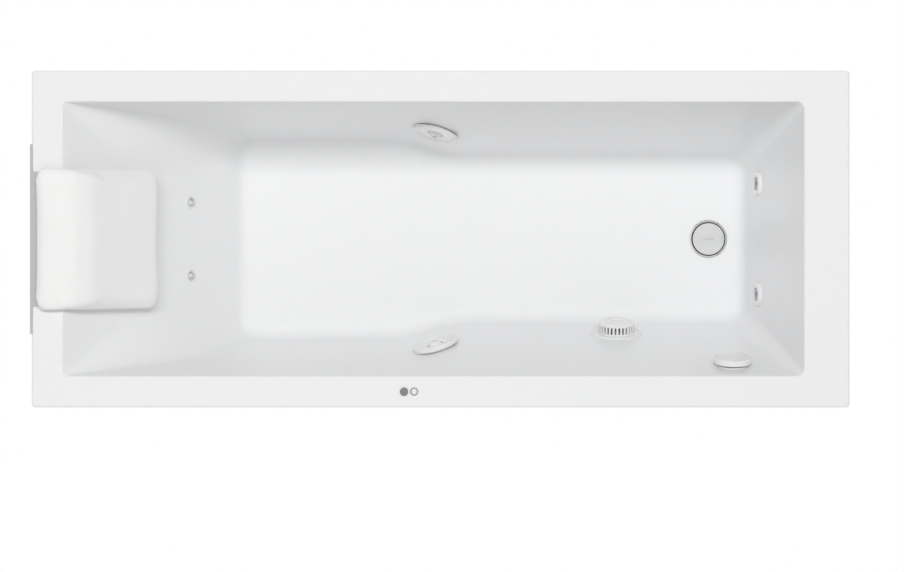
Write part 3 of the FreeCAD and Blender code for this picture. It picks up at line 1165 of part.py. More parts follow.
def headrest():
    half = float(S.rest_half)
    slices = [(-1.0, 0.3), (-0.95, 0.62), (-0.75, 0.92), (0.0, 1.0), (0.75, 0.92), (0.95, 0.62), (1.0, 0.3)]
    cushion = Part.makeLoft([rest_section(half * across, share) for across, share in slices], True, False)
    keep(shaped("headrest_cushion", cushion), "headrest_cushion")
    gap, thick = S.hanger_gap / 2, S.hanger_thick
    outer_x = -HALF_LENGTH - gap - thick
    lip = block("hanger_lip", (outer_x, -S.hanger_half, S.rim_height + gap),
                (S.hanger_lip, 2 * S.hanger_half, thick))
    tongue = block("hanger_tongue", (outer_x, -S.hanger_tongue_half, S.rim_height + gap),
                   (S.hanger_reach, 2 * S.hanger_tongue_half, thick))
    leg = block("hanger_leg", (outer_x, -S.hanger_half, S.rim_height + gap + thick - S.hanger_drop),
                (thick, 2 * S.hanger_half, S.hanger_drop))
    keep(fuse("headrest_hanger", lip, tongue, leg), "headrest_hanger")


# ---- build, check and write -----------------------------------------------------------------------------------

tub_shell()
glassfibre_backing()
base_board()
uprights()
levelling_feet()
drain()
overflow()
suction()
side_jets()
foot_jets()
back_jets()
jet_seals()
water_pipes()
air_pipes()
back_jet_hoses()
pump()
control_box()
cables()
deck_controls()
headrest()

doc.recompute()
failed = [thing.Name for thing in doc.Objects if "Invalid" in thing.State or "Error" in thing.State]
if failed:
    raise RuntimeError("objects that did not compute: " + ", ".join(failed))
for piece in finished:
    if piece.Shape.isNull() or not piece.Shape.isValid() or piece.Shape.Volume <= 0:
        raise RuntimeError(f"{piece.Label} has no sound shape")

os.makedirs("parts", exist_ok=True)
for piece in finished:
    piece.Shape.exportStep(f"parts/{piece.Label}.step")
print(f"{len(finished)} sub-parts written")
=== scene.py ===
import bmesh
import bpy
import json
import math
from mathutils import Matrix, Vector


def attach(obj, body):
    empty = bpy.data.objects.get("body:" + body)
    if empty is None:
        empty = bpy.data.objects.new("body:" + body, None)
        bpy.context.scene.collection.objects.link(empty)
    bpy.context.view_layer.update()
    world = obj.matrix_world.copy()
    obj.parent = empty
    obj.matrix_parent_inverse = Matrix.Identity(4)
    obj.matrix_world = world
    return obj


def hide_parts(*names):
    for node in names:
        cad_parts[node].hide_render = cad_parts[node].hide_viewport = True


# Jetted bathtub, in metres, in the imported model's frame:
# +X is the drain end, +Y the long side without controls, and the floor is z = 0
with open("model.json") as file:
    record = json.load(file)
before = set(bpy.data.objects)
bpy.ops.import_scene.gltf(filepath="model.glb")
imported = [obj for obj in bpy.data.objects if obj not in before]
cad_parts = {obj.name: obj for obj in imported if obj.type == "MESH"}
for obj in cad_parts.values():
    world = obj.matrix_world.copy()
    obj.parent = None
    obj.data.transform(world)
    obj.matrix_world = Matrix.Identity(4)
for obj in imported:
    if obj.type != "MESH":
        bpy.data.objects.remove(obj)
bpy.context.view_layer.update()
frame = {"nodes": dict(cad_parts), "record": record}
nodes = frame["nodes"]
scene = bpy.context.scene
mm = 0.001

# straight down, with the bath a little left of and above the middle of the picture
viewpoint = {"height": 6.58, "lens": 115.0, "shiftX": 0.0126, "shiftY": -0.052}
cameraData = bpy.data.cameras.new("viewpoint")
cameraData.lens = viewpoint["lens"]
cameraData.shift_x = viewpoint["shiftX"]
cameraData.shift_y = viewpoint["shiftY"]
cameraData.clip_end = 60
camera = bpy.data.objects.new("viewpoint", cameraData)
camera.location = (0, 0, viewpoint["height"])
scene.collection.objects.link(camera)
scene.camera = camera
scene.view_settings.view_transform = "Standard"
print("camera placed")


class Wire:
    # one socket of a node tree; arithmetic on it adds Math nodes, and node() adds any other
    def __init__(self, tree, socket=None):
        self.tree = tree
        self.socket = socket

    def node(self, kind, settings=None, inputs=None, out=0):
        made = self.tree.nodes.new(kind)
        for name, value in (settings or {}).items():
            if name == "stops":
                fillRamp(made.color_ramp, value)
            else:
                setattr(made, name, value)
        for key, value in (inputs or {}).items():
            if isinstance(value, Wire):
                self.tree.links.new(value.socket, made.inputs[key])
            else:
                made.inputs[key].default_value = value
        return Wire(self.tree, made.outputs[out])

    def math(self, operation, first, second=0.0):
        return self.node("ShaderNodeMath", {"operation": operation}, {0: first, 1: second})

    def __add__(self, other):
        return self.math("ADD", self, other)

    def __radd__(self, other):
        return self.math("ADD", other, self)

    def __mul__(self, other):
        return self.math("MULTIPLY", self, other)


def fillRamp(ramp, stops):
    while len(ramp.elements) < len(stops):
        ramp.elements.new(1.0)
    for element, (position, colour) in zip(ramp.elements, stops):
        element.position = position
        element.color = (*colour, 1.0)


def directRay(start):
    # 1 for a ray that the camera, a reflection or a clear piece sends, else 0
    path = start.node("ShaderNodeLightPath").socket.node
    total = Wire(start.tree, path.outputs["Is Camera Ray"])
    for name in ("Is Glossy Ray", "Is Transmission Ray"):
        total = start.math("MAXIMUM", total, Wire(start.tree, path.outputs[name]))
    return total


# plain soft studio light: a wide lamp high on the +Y side, a weak one low on the -Y side, and a pale dome.
# The lamps are hidden from reflections, so no bright line shows on the acrylic
studio = {"dome": 0.41, "seen": 1.0, "floorHalf": 9.0, "aim": (0.0, 0.0, 0.3)}
lamps = (
    {"name": "softKey", "at": (0.0, 2.0, 7.8), "size": (4.4, 1.5), "power": 296.0},
    {"name": "softFill", "at": (-0.8, -2.6, 3.6), "size": (2.6, 2.6), "power": 20.0},
)
world = bpy.data.worlds.new("studioDome")
world.use_nodes = True
world.node_tree.nodes.clear()
dome = Wire(world.node_tree)
seenRay = directRay(dome)
lit = dome.node("ShaderNodeBackground", inputs={"Color": (1, 1, 1, 1), "Strength": studio["dome"]})
seen = dome.node("ShaderNodeBackground", inputs={"Color": (1, 1, 1, 1), "Strength": studio["seen"]})
domeMix = dome.node("ShaderNodeMixShader", inputs={0: seenRay, 1: lit, 2: seen})
worldOut = world.node_tree.nodes.new("ShaderNodeOutputWorld")
world.node_tree.links.new(domeMix.socket, worldOut.inputs["Surface"])
scene.world = world
for lamp in lamps:
    lampData = bpy.data.lights.new(lamp["name"], "AREA")
    lampData.shape = "RECTANGLE"
    lampData.size, lampData.size_y = lamp["size"]
    lampData.energy = lamp["power"]
    lampObject = bpy.data.objects.new(lamp["name"], lampData)
    lampObject.location = lamp["at"]
    beam = Vector(studio["aim"]) - Vector(lamp["at"])
    lampObject.rotation_euler = beam.to_track_quat("-Z", "Y").to_euler()
    lampObject.visible_camera = False
    lampObject.visible_glossy = False
    scene.collection.objects.link(lampObject)
print("studio lit")


def newFinish(name, build):
    material = bpy.data.materials.new(name)
    material.use_nodes = True
    material.node_tree.nodes.clear()
    start = Wire(material.node_tree)
    surface = build(start, start.node("ShaderNodeTexCoord", out="Object"))
    output = material.node_tree.nodes.new("ShaderNodeOutputMaterial")
    material.node_tree.links.new(surface.socket, output.inputs["Surface"])
    return material


def stretched(start, place, scale):
    return start.node("ShaderNodeMapping", inputs={"Vector": place, "Scale": scale})


def noise(start, place, scale, detail=3.0, roughness=0.5):
    return start.node("ShaderNodeTexNoise", inputs={
        "Vector": place, "Scale": scale, "Detail": detail, "Roughness": roughness})


def cells(start, place, scale, feature="F1", out="Distance"):
    return start.node("ShaderNodeTexVoronoi", {"feature": feature}, {"Vector": place, "Scale": scale}, out)


def ramp(start, factor, *stops):
    return start.node("ShaderNodeValToRGB", {"stops": stops}, {"Fac": factor})


def blendColour(start, factor, first, second, mode="MIX"):
    made = start.tree.nodes.new("ShaderNodeMix")
    made.data_type = "RGBA"
    made.blend_type = mode
    for socket, value in ((made.inputs[0], factor), (made.inputs[6], first), (made.inputs[7], second)):
        if isinstance(value, Wire):
            start.tree.links.new(value.socket, socket)
        else:
            socket.default_value = value if isinstance(value, float) else (*value, 1.0)
    return Wire(start.tree, made.outputs[2])


def relief(start, height, strength, distance):
    return start.node("ShaderNodeBump", inputs={
        "Height": height, "Strength": strength, "Distance": distance})


def principled(start, **inputs):
    names = {"colour": "Base Color", "roughness": "Roughness", "metallic": "Metallic", "normal": "Normal",
             "coat": "Coat Weight", "coatRoughness": "Coat Roughness", "sheen": "Sheen Weight",
             "clear": "Transmission Weight", "specular": "Specular IOR Level"}
    filled = {}
    for key, value in inputs.items():
        filled[names[key]] = (*value, 1.0) if isinstance(value, tuple) else value
    return start.node("ShaderNodeBsdfPrincipled", inputs=filled)


# each finish has its own maker, with the values to change in a dict beside it
acrylicLook = {"tone": (0.885, 0.888, 0.892), "shade": (0.868, 0.872, 0.878), "roughness": 0.27,
               "ripple": 0.05, "wipe": 0.07, "coat": 0.12, "coatRoughness": 0.12}


def acrylic(start, place):
    cloud = noise(start, place, 2.4, 4.0)
    peel = noise(start, place, 240.0, 2.0)
    wipe = noise(start, stretched(start, place, (9.0, 55.0, 30.0)), 1.0, 3.0)
    return principled(
        start, colour=blendColour(start, cloud, acrylicLook["tone"], acrylicLook["shade"]),
        roughness=acrylicLook["roughness"] + wipe * acrylicLook["wipe"],
        coat=acrylicLook["coat"], coatRoughness=acrylicLook["coatRoughness"],
        normal=relief(start, peel, acrylicLook["ripple"], 0.0004))


glassfibreLook = {"resin": (0.60, 0.62, 0.55), "strand": (0.80, 0.81, 0.74), "strandScale": 60.0}


def glassfibre(start, place):
    long = {"x": (1.0, 9.0, 9.0), "y": (9.0, 1.0, 9.0), "z": (7.0, 7.0, 1.0)}
    layers = [noise(start, stretched(start, place, long[axis]), glassfibreLook["strandScale"] / 3, 2.0, 0.7)
              for axis in "xyz"]
    strands = layers[0].math("MAXIMUM", layers[0], layers[1])
    strands = strands.math("MAXIMUM", strands, layers[2])
    pools = noise(start, place, 14.0, 4.0)
    factor = ramp(start, strands, (0.5, (0, 0, 0)), (0.72, (1, 1, 1)))
    colour = blendColour(start, factor, glassfibreLook["resin"], glassfibreLook["strand"])
    return principled(start, colour=blendColour(start, 0.35, colour, pools, "SOFT_LIGHT"),
                      roughness=0.34 + pools * 0.3, coat=0.25, coatRoughness=0.2,
                      normal=relief(start, strands + pools, 0.55, 0.0018))


chipboardLook = {"light": (0.66, 0.51, 0.33), "dark": (0.36, 0.24, 0.13), "flake": 260.0}


def chipboard(start, place):
    flakes = cells(start, stretched(start, place, (1.0, 0.45, 1.0)), chipboardLook["flake"], out="Color")
    edges = cells(start, place, chipboardLook["flake"] * 0.8)
    broad = noise(start, place, 20.0, 3.0)
    tone = blendColour(start, flakes, chipboardLook["dark"], chipboardLook["light"])
    return principled(start, colour=blendColour(start, 0.3, tone, broad, "OVERLAY"),
                      roughness=0.75 + broad * 0.15, normal=relief(start, edges, 0.5, 0.0008))


zincLook = {"tone": (0.58, 0.60, 0.62), "pale": (0.74, 0.76, 0.78), "spangle": 70.0}


def zincSteel(start, place):
    spangle = cells(start, place, zincLook["spangle"], out="Color")
    haze = noise(start, place, 18.0, 5.0)
    return principled(start, colour=blendColour(start, spangle, zincLook["tone"], zincLook["pale"]),
                      metallic=0.85, roughness=0.30 + haze * 0.25, normal=relief(start, haze, 0.12, 0.0006))


chromeLook = {"tone": (0.72, 0.725, 0.73), "shade": (0.64, 0.645, 0.65), "roughness": 0.07}


def chrome(start, place):
    wipes = noise(start, stretched(start, place, (30.0, 260.0, 120.0)), 1.0, 4.0)
    spots = noise(start, place, 45.0, 2.0)
    return principled(start, colour=blendColour(start, spots, chromeLook["tone"], chromeLook["shade"]),
                      metallic=1.0, roughness=chromeLook["roughness"] + wipes * 0.07,
                      normal=relief(start, wipes, 0.02, 0.0003))


def mouldedPlastic(tone, shade, roughness, grain, grainScale, coat=0.0, specular=0.5):
    def build(start, place):
        texture = noise(start, place, grainScale, 2.0, 0.6)
        cloud = noise(start, place, 11.0, 4.0)
        return principled(start, colour=blendColour(start, cloud, tone, shade),
                          roughness=roughness + cloud * 0.1, coat=coat, coatRoughness=0.1, specular=specular,
                          normal=relief(start, texture, grain, 0.0004))
    return build


def pipePlastic(start, place):
    streak = noise(start, stretched(start, place, (8.0, 90.0, 90.0)), 1.0, 3.0)
    speck = noise(start, place, 420.0, 1.0)
    return principled(start, colour=blendColour(start, streak, (0.80, 0.81, 0.81), (0.88, 0.88, 0.87)),
                      roughness=0.30 + streak * 0.14,
                      normal=relief(start, streak + speck * 0.3, 0.10, 0.0004))


def rubber(start, place):
    dust = noise(start, place, 36.0, 5.0, 0.65)
    pores = noise(start, place, 700.0, 1.0)
    tone = ramp(start, dust, (0.35, (0.018, 0.018, 0.019)), (0.8, (0.07, 0.068, 0.064)))
    return principled(start, colour=tone, roughness=0.68 + dust * 0.2,
                      normal=relief(start, pores, 0.3, 0.0003))


def clearHose(start, place):
    wrap = noise(start, place, 28.0, 3.0)
    return principled(start, colour=blendColour(start, wrap, (0.72, 0.76, 0.78), (0.82, 0.85, 0.86)),
                      clear=0.55, roughness=0.16 + wrap * 0.1, normal=relief(start, wrap, 0.15, 0.0005))


def castAluminium(start, place):
    skin = noise(start, place, 320.0, 2.0, 0.6)
    stain = noise(start, place, 16.0, 5.0)
    return principled(start, colour=blendColour(start, stain, (0.50, 0.51, 0.52), (0.66, 0.67, 0.68)),
                      metallic=0.8, roughness=0.38 + stain * 0.22, normal=relief(start, skin, 0.28, 0.0005))


def copperWinding(start, place):
    turns = start.node("ShaderNodeTexWave", {"wave_type": "RINGS", "rings_direction": "Y"},
                       {"Vector": place, "Scale": 160.0, "Distortion": 1.5})
    return principled(start, colour=blendColour(start, turns, (0.42, 0.15, 0.06), (0.78, 0.38, 0.20)),
                      metallic=0.9, roughness=0.26 + turns * 0.12, normal=relief(start, turns, 0.6, 0.0006))


def turnedSteel(start, place):
    grooves = start.node("ShaderNodeTexWave", {"bands_direction": "Y"}, {"Vector": place, "Scale": 420.0})
    oil = noise(start, place, 40.0, 3.0)
    return principled(start, colour=blendColour(start, oil, (0.55, 0.55, 0.56), (0.70, 0.70, 0.71)),
                      metallic=1.0, roughness=0.20 + oil * 0.18, normal=relief(start, grooves, 0.08, 0.0002))


cushionLook = {"tone": (0.935, 0.932, 0.926), "shade": (0.905, 0.902, 0.895), "grain": 380.0}


def cushionSkin(start, place):
    grain = cells(start, place, cushionLook["grain"], "DISTANCE_TO_EDGE")
    crease = noise(start, place, 8.0, 4.0)
    height = grain.math("MINIMUM", grain, 0.35) + crease * 0.6
    return principled(start, colour=blendColour(start, crease, cushionLook["tone"], cushionLook["shade"]),
                      roughness=0.42 + crease * 0.12, sheen=0.12, normal=relief(start, height, 0.16, 0.0007))


def wovenStrap(start, place):
    warp = start.node("ShaderNodeTexWave", {"bands_direction": "Y"}, {"Vector": place, "Scale": 130.0})
    weft = start.node("ShaderNodeTexWave", {"bands_direction": "X"}, {"Vector": place, "Scale": 130.0})
    weave = warp * weft
    return principled(start, colour=blendColour(start, weave, (0.50, 0.505, 0.51), (0.60, 0.605, 0.61)),
                      roughness=0.62 + weave * 0.15, sheen=0.2, normal=relief(start, weave, 0.35, 0.0005))


def studioPaper(start, place):
    # paper that lights the bath as paper does, and looks pure white itself
    fade = noise(start, place, 1.2, 3.0)
    tone = blendColour(start, fade, (0.93, 0.93, 0.93), (0.91, 0.91, 0.91))
    ground = principled(start, colour=tone, roughness=0.9)
    white = start.node("ShaderNodeEmission", inputs={"Color": (1, 1, 1, 1), "Strength": studio["seen"]})
    return start.node("ShaderNodeMixShader", inputs={0: directRay(start), 1: ground, 2: white})


makers = {
    "acrylic": acrylic,
    "glassfibre": glassfibre,
    "chipboard": chipboard,
    "zinc_steel": zincSteel,
    "chrome": chrome,
    "white_gloss": mouldedPlastic((0.86, 0.862, 0.866), (0.83, 0.833, 0.838), 0.18, 0.05, 300.0, 0.3),
    "white_pipe": pipePlastic,
    "black_plastic": mouldedPlastic((0.022, 0.022, 0.024), (0.045, 0.045, 0.047), 0.42, 0.35, 520.0),
    "rubber": rubber,
    "grey_plastic": mouldedPlastic((0.42, 0.43, 0.44), (0.48, 0.49, 0.50), 0.46, 0.30, 620.0),
    "clear_hose": clearHose,
    "motor_aluminium": castAluminium,
    "copper": copperWinding,
    "steel": turnedSteel,
    "grey_ring": mouldedPlastic((0.40, 0.405, 0.41), (0.44, 0.445, 0.45), 0.30, 0.12, 500.0, 0.1),
    "dark_grey": mouldedPlastic((0.205, 0.21, 0.215), (0.235, 0.24, 0.245), 0.36, 0.18, 500.0),
    "cushion_foam": cushionSkin,
    "grey_strap": wovenStrap,
    "foot_plastic": mouldedPlastic((0.05, 0.05, 0.055), (0.09, 0.09, 0.095), 0.5, 0.3, 400.0),
}
finishes = {name: newFinish(name, build) for name, build in makers.items()}
finishOfNode = {}
for part in frame["record"]["subparts"]:
    finishOfNode[part["node"]] = part["material_slot"]
for name, node in nodes.items():
    slotName = finishOfNode[name]
    for materialSlot in node.material_slots:
        materialSlot.material = finishes[slotName]
print("finishes made:", len(finishes))

floorMesh = bpy.data.meshes.new("studioFloor")
half = studio["floorHalf"]
floorCorners = [(-half, -half, 0), (half, -half, 0), (half, half, 0), (-half, half, 0)]
floorMesh.from_pydata(floorCorners, [], [(0, 1, 2, 3)])
studioFloor = bpy.data.objects.new("studioFloor", floorMesh)
floorMesh.materials.append(newFinish("studioFloor", studioPaper))
scene.collection.objects.link(studioFloor)

# the bath's own sizes, in millimetres; heights are above the bath floor
bath = {
    "floorZ": 160.0, "depth": 420.0, "halfLength": 850.0, "halfWidth": 350.0, "skirt": 35.0, "wall": 5.0,
    "headFloor": -440.0, "headLean": 0.8238, "footFloor": 672.0, "footLean": 0.2,
    "wideFloor": 218.0, "wideLean": 0.1595, "narrowFloor": 180.0, "narrowLean": 0.25,
    "waistStart": -100.0, "waistSlope": 0.28148, "waistLean": 0.24196, "waistSoft": 11.0,
    "headCorner": (44.0, 8.0, 98.0), "footCorner": (40.0, 15.0, 6.0),
    "floorRound": 34.0, "rimRound": 5.0, "outerCorner": 8.0, "outerRound": 4.0,
    "laminate": 3.0, "laminateGap": 0.2, "sharpAngle": 35,
}
counts = {"headEdge": 12, "headArc": 16, "side": 96, "footArc": 10, "footEdge": 10, "fillet": 9, "wall": 34,
          "rimArc": 5}


def softLess(a, b, soft):
    if soft <= 0:
        return min(a, b)
    overlap = max(soft - abs(a - b), 0.0) / soft
    return min(a, b) - overlap * overlap * soft / 4


def cornerRadius(corner, height):
    share = min(max(height / bath["depth"], 0.0), 1.0)
    low, high, swell = corner
    return low + (high - low) * share + swell * math.sin(math.pi * share) ** 1.3


def sideAt(x, height):
    # half width of the well at x: wide by the shoulders, narrow by the legs, with an S between
    wide = bath["wideFloor"] + bath["wideLean"] * height
    narrow = bath["narrowFloor"] + bath["narrowLean"] * height
    facet = bath["wideFloor"] + bath["waistLean"] * height - bath["waistSlope"] * (x - bath["waistStart"])
    soft = bath["waistSoft"] * (1 - height / bath["depth"])
    return -softLess(-softLess(wide, facet, soft), -narrow, soft)


def spread(count, start, end, includeEnd=False):
    steps = count if not includeEnd else count - 1
    return [start + (end - start) * i / steps for i in range(count)]


def halfOutline(height):
    # from the middle of the head edge round the +Y side to the middle of the foot edge
    head = bath["headFloor"] - bath["headLean"] * height
    foot = bath["footFloor"] + bath["footLean"] * height
    headR = cornerRadius(bath["headCorner"], height)
    footR = cornerRadius(bath["footCorner"], height)
    wide, narrow = sideAt(head + headR, height), sideAt(foot - footR, height)
    points = [(head, y) for y in spread(counts["headEdge"], 0.0, wide - headR)]
    for angle in spread(counts["headArc"], 0.0, math.pi / 2):
        points.append((head + headR - headR * math.cos(angle), wide - headR + headR * math.sin(angle)))
    for share in spread(counts["side"], 0.0, 1.0):
        low, high = head + headR, foot - footR
        # points crowd round the waist
        centred = share - 0.5
        x = low + (high - low) * (0.5 + centred * (0.45 + 2.2 * centred * centred))
        points.append((x, sideAt(x, height)))
    for angle in spread(counts["footArc"], 0.0, math.pi / 2):
        points.append((foot - footR + footR * math.sin(angle), narrow - footR + footR * math.cos(angle)))
    points += [(foot, y) for y in spread(counts["footEdge"] + 1, narrow - footR, 0.0, True)]
    return points


def closedOutline(points):
    return [Vector(p) for p in points] + [Vector((x, -y)) for x, y in reversed(points[1:-1])]


def outwardAt(outline, index):
    along = outline[(index + 1) % len(outline)] - outline[index - 1]
    return Vector((-along.y, along.x)).normalized()


def rectangleOutline(inset):
    # the rim's outer edge, with as many points as the well's outline
    x, y = bath["halfLength"] - inset, bath["halfWidth"] - inset
    r = max(bath["outerCorner"] - inset, 0.5)
    points = [(-x, v) for v in spread(counts["headEdge"], 0.0, y - r)]
    for angle in spread(counts["headArc"], 0.0, math.pi / 2):
        points.append((-x + r - r * math.cos(angle), y - r + r * math.sin(angle)))
    inner = halfOutline(bath["depth"])
    first = counts["headEdge"] + counts["headArc"]
    span = [p[0] for p in inner[first:first + counts["side"]]]
    low, high = span[0], span[-1]
    points += [(-x + r + (2 * x - 2 * r) * (v - low) / (high - low + 8.0), y) for v in span]
    for angle in spread(counts["footArc"], 0.0, math.pi / 2):
        points.append((x - r + r * math.sin(angle), y - r + r * math.cos(angle)))
    points += [(x, v) for v in spread(counts["footEdge"] + 1, y - r, 0.0, True)]
    return closedOutline(points)


def wellRows():
    # rows of points from the flat floor up to the flat rim
    depth = bath["depth"]
    base = closedOutline(halfOutline(0.0))
    higher = closedOutline(halfOutline(12.0))
    top = closedOutline(halfOutline(depth))
    below = closedOutline(halfOutline(depth - 6.0))
    total = len(base)
    outward = [outwardAt(base, i) for i in range(total)]
    outwardTop = [outwardAt(top, i) for i in range(total)]
    leanLow = [max((higher[i] - base[i]).dot(outward[i]) / 12.0, 0.02) for i in range(total)]
    leanTop = [max((top[i] - below[i]).dot(outwardTop[i]) / 6.0, 0.02) for i in range(total)]
    rows = []

    def floorPoint(i, share):
        turn = math.atan2(1.0, leanLow[i])
        angle = turn * share
        tangent = bath["floorRound"] * math.tan(turn / 2)
        z = bath["floorRound"] * (1 - math.cos(angle))
        inset = leanLow[i] * z + tangent - bath["floorRound"] * math.sin(angle)
        return z, inset

    levels = {}

    def outlineAt(z):
        key = round(z, 3)
        if key not in levels:
            levels[key] = closedOutline(halfOutline(z))
        return levels[key]

    def wellPoint(i, z, inset=0.0):
        outline = outlineAt(z)
        spot = outline[i] - outwardAt(outline, i) * inset
        return Vector((spot.x, spot.y, z))

    floorEdge = [base[i] - outward[i] * floorPoint(i, 0.0)[1] for i in range(total)]
    rows.append([(p - outward[i] * 1.5).to_3d() for i, p in enumerate(floorEdge)])
    for share in spread(counts["fillet"], 0.0, 1.0):
        rows.append([wellPoint(i, *floorPoint(i, share)) for i in range(total)])
    starts = [floorPoint(i, 1.0)[0] for i in range(total)]
    ends = []
    for i in range(total):
        turn = math.atan2(1.0, leanTop[i])
        ends.append(depth - bath["rimRound"] * math.tan(turn / 2) * math.sin(turn))
    for share in spread(counts["wall"] + 1, 0.0, 1.0, True):
        rows.append([wellPoint(i, starts[i] + (ends[i] - starts[i]) * share) for i in range(total)])
    for share in spread(counts["rimArc"], 1 / counts["rimArc"], 1.0, True):
        row = []
        for i in range(total):
            turn = math.atan2(1.0, leanTop[i])
            angle = turn * (1 - share)
            tangent = bath["rimRound"] * math.tan(turn / 2)
            z = depth - bath["rimRound"] * (1 - math.cos(angle))
            out = tangent - bath["rimRound"] * math.sin(angle)
            spot = top[i] + outwardTop[i] * out
            row.append(Vector((spot.x, spot.y, z)))
        rows.append(row)
    rows.append([p + outwardTop[i].to_3d() * 4 for i, p in enumerate(rows[-1])])
    return rows


def skirtRows():
    depth, r = bath["depth"], bath["outerRound"]
    rows = []
    for inset, z in ((r + 5, depth), (r, depth)):
        rows.append([Vector((p.x, p.y, z)) for p in rectangleOutline(inset)])
    for step in range(1, 6):
        angle = math.pi / 2 * step / 5
        z = depth - r + r * math.cos(angle)
        rows.append([Vector((p.x, p.y, z)) for p in rectangleOutline(r - r * math.sin(angle))])
    for share in (0.15, 0.5, 1.0):
        z = depth - r - (bath["skirt"] - r) * share
        rows.append([Vector((p.x, p.y, z)) for p in rectangleOutline(0.0)])
    return rows


def meshFromRows(name, rows):
    # rings of points joined into walls, and the first ring closed
    total = len(rows[0])
    points = [(p.x * mm, p.y * mm, (p.z + bath["floorZ"]) * mm) for row in rows for p in row]
    faces = []
    for r in range(len(rows) - 1):
        for i in range(total):
            j = (i + 1) % total
            faces.append((r * total + i, r * total + j, (r + 1) * total + j, (r + 1) * total + i))
    faces.append(tuple(reversed(range(total))))
    mesh = bpy.data.meshes.new(name)
    mesh.from_pydata(points, [], faces)
    for face in mesh.polygons:
        face.use_smooth = True
    return mesh


def linked(name, mesh, finishName):
    thing = bpy.data.objects.new(name, mesh)
    scene.collection.objects.link(thing)
    mesh.materials.clear()
    mesh.materials.append(finishes[finishName])
    return thing


def settled(thing):
    # the evaluated shape becomes the plain mesh, and no modifier is left
    depsgraph = bpy.context.evaluated_depsgraph_get()
    mesh = bpy.data.meshes.new_from_object(thing.evaluated_get(depsgraph))
    thing.modifiers.clear()
    thing.data = mesh


rowsOfWell = wellRows()
tubMesh = meshFromRows("tubSkin", rowsOfWell + skirtRows())
tubSkin = linked("tubSkin", tubMesh, "acrylic")
thicken = tubSkin.modifiers.new("wall", "SOLIDIFY")
thicken.thickness = bath["wall"] * mm
thicken.offset = -1.0
laminateMesh = meshFromRows("laminate", rowsOfWell[1:-counts["rimArc"] - 1])
for vertex, normal in zip(laminateMesh.vertices, [v.normal.copy() for v in laminateMesh.vertices]):
    vertex.co -= normal * (bath["wall"] + bath["laminateGap"]) * mm
laminate = linked("laminate", laminateMesh, "glassfibre")
thicken = laminate.modifiers.new("wall", "SOLIDIFY")
thicken.thickness = bath["laminate"] * mm
thicken.offset = -1.0

# the holes for the fittings, cut through both skins: middle, outward direction and radius
fittings = {
    "drain": ((595, 0, 160), (0, 0, 1), 27),
    "airKnob": ((-76, -317, 580), (0, 0, 1), 7),
    "powerButton": ((-55, -317, 580), (0, 0, 1), 7),
    "suction": ((384, -206.15, 265), (0, -0.97037, -0.24167), 30),
    "overflow": ((614, -265.92, 505), (0, -0.97037, -0.24167), 24),
}
for side, way in (("Back", 1), ("Front", -1)):
    fittings["sideJet" + side] = ((-10, way * 233.3156, 328), (0.26389, way * 0.9375, -0.22684), 34)
    fittings["footJet" + side] = ((694, way * 121, 270), (0.98058, 0, -0.19612), 19)
    fittings["backJet" + side] = ((-545.01, way * 80, 287.457), (-0.77183, 0, -0.63584), 10)


drill = {"reach": 22, "sides": 64}


def roundCutter(middle, direction, radius):
    shape = bmesh.new()
    bmesh.ops.create_cone(shape, cap_ends=True, segments=drill["sides"], radius1=radius * mm,
                          radius2=radius * mm, depth=2 * drill["reach"] * mm)
    turn = Vector(direction).to_track_quat("Z", "Y").to_matrix().to_4x4()
    shape.transform(Matrix.Translation(Vector(middle) * mm) @ turn)
    return shape


def drilled(thing, holes):
    allHoles = bmesh.new()
    for hole in holes:
        shape = roundCutter(*hole)
        part = bpy.data.meshes.new("hole")
        shape.to_mesh(part)
        allHoles.from_mesh(part)
        shape.free()
        bpy.data.meshes.remove(part)
    mesh = bpy.data.meshes.new("holes")
    allHoles.to_mesh(mesh)
    allHoles.free()
    cutter = bpy.data.objects.new("holes", mesh)
    scene.collection.objects.link(cutter)
    cutting = thing.modifiers.new("holes", "BOOLEAN")
    cutting.operation = "DIFFERENCE"
    cutting.object = cutter
    cutting.solver = "EXACT"
    settled(thing)
    bpy.data.objects.remove(cutter)
    thing.data.set_sharp_from_angle(angle=math.radians(bath["sharpAngle"]))


drilled(tubSkin, fittings.values())
drilled(laminate, [hole for name, hole in fittings.items() if name not in ("airKnob", "powerButton")])
skins = ((tubSkin, "tub_shell", "acrylic"), (laminate, "glassfibre_backing", "glassfibre"))
for thing, nodeName, slotName in skins:
    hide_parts(nodeName)
    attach(thing, "bath")
print("bath skin:", len(tubSkin.data.polygons), "faces; laminate:", len(laminate.data.polygons))

# the neck cushion: a foam slab with rolled edges, bent over the rim and lying down the slope
cushion = {
    "outer": -842.0, "bend": -786.0, "reach": 162.0, "lift": 3.0, "halfWide": 153.0, "corner": 26.0,
    "bendRound": 8.0, "overRim": 22.0, "onSlope": 38.0, "edge": 26.0, "steps": 44, "crown": 3.0,
    "under": 0.42, "growFrom": 30.0, "growOver": 80.0,
    "voxel": 0.0045, "pressure": 5.0, "cap": 0.004, "smoothing": 6, "frames": 20, "fill": 0.9,
}


def restPoint(along, height):
    # a point over the rim and the slope: along from the outer end, and height above what the cushion lies on
    lean = bath["headLean"]
    turn = math.pi / 2 - math.atan(lean)
    flat = cushion["bend"] - cushion["outer"]
    z = bath["floorZ"] + bath["depth"] + cushion["lift"]
    r = cushion["bendRound"]
    arc = r * turn
    if along <= flat:
        return Vector((cushion["outer"] + along, z + height))
    middle = Vector((cushion["bend"], z - r))
    angle = min((along - flat) / r, turn)
    spot = middle + Vector((math.sin(angle), math.cos(angle))) * (r + height)
    beyond = max(along - flat - arc, 0.0)
    return spot + Vector((math.cos(turn), -math.sin(turn))) * beyond


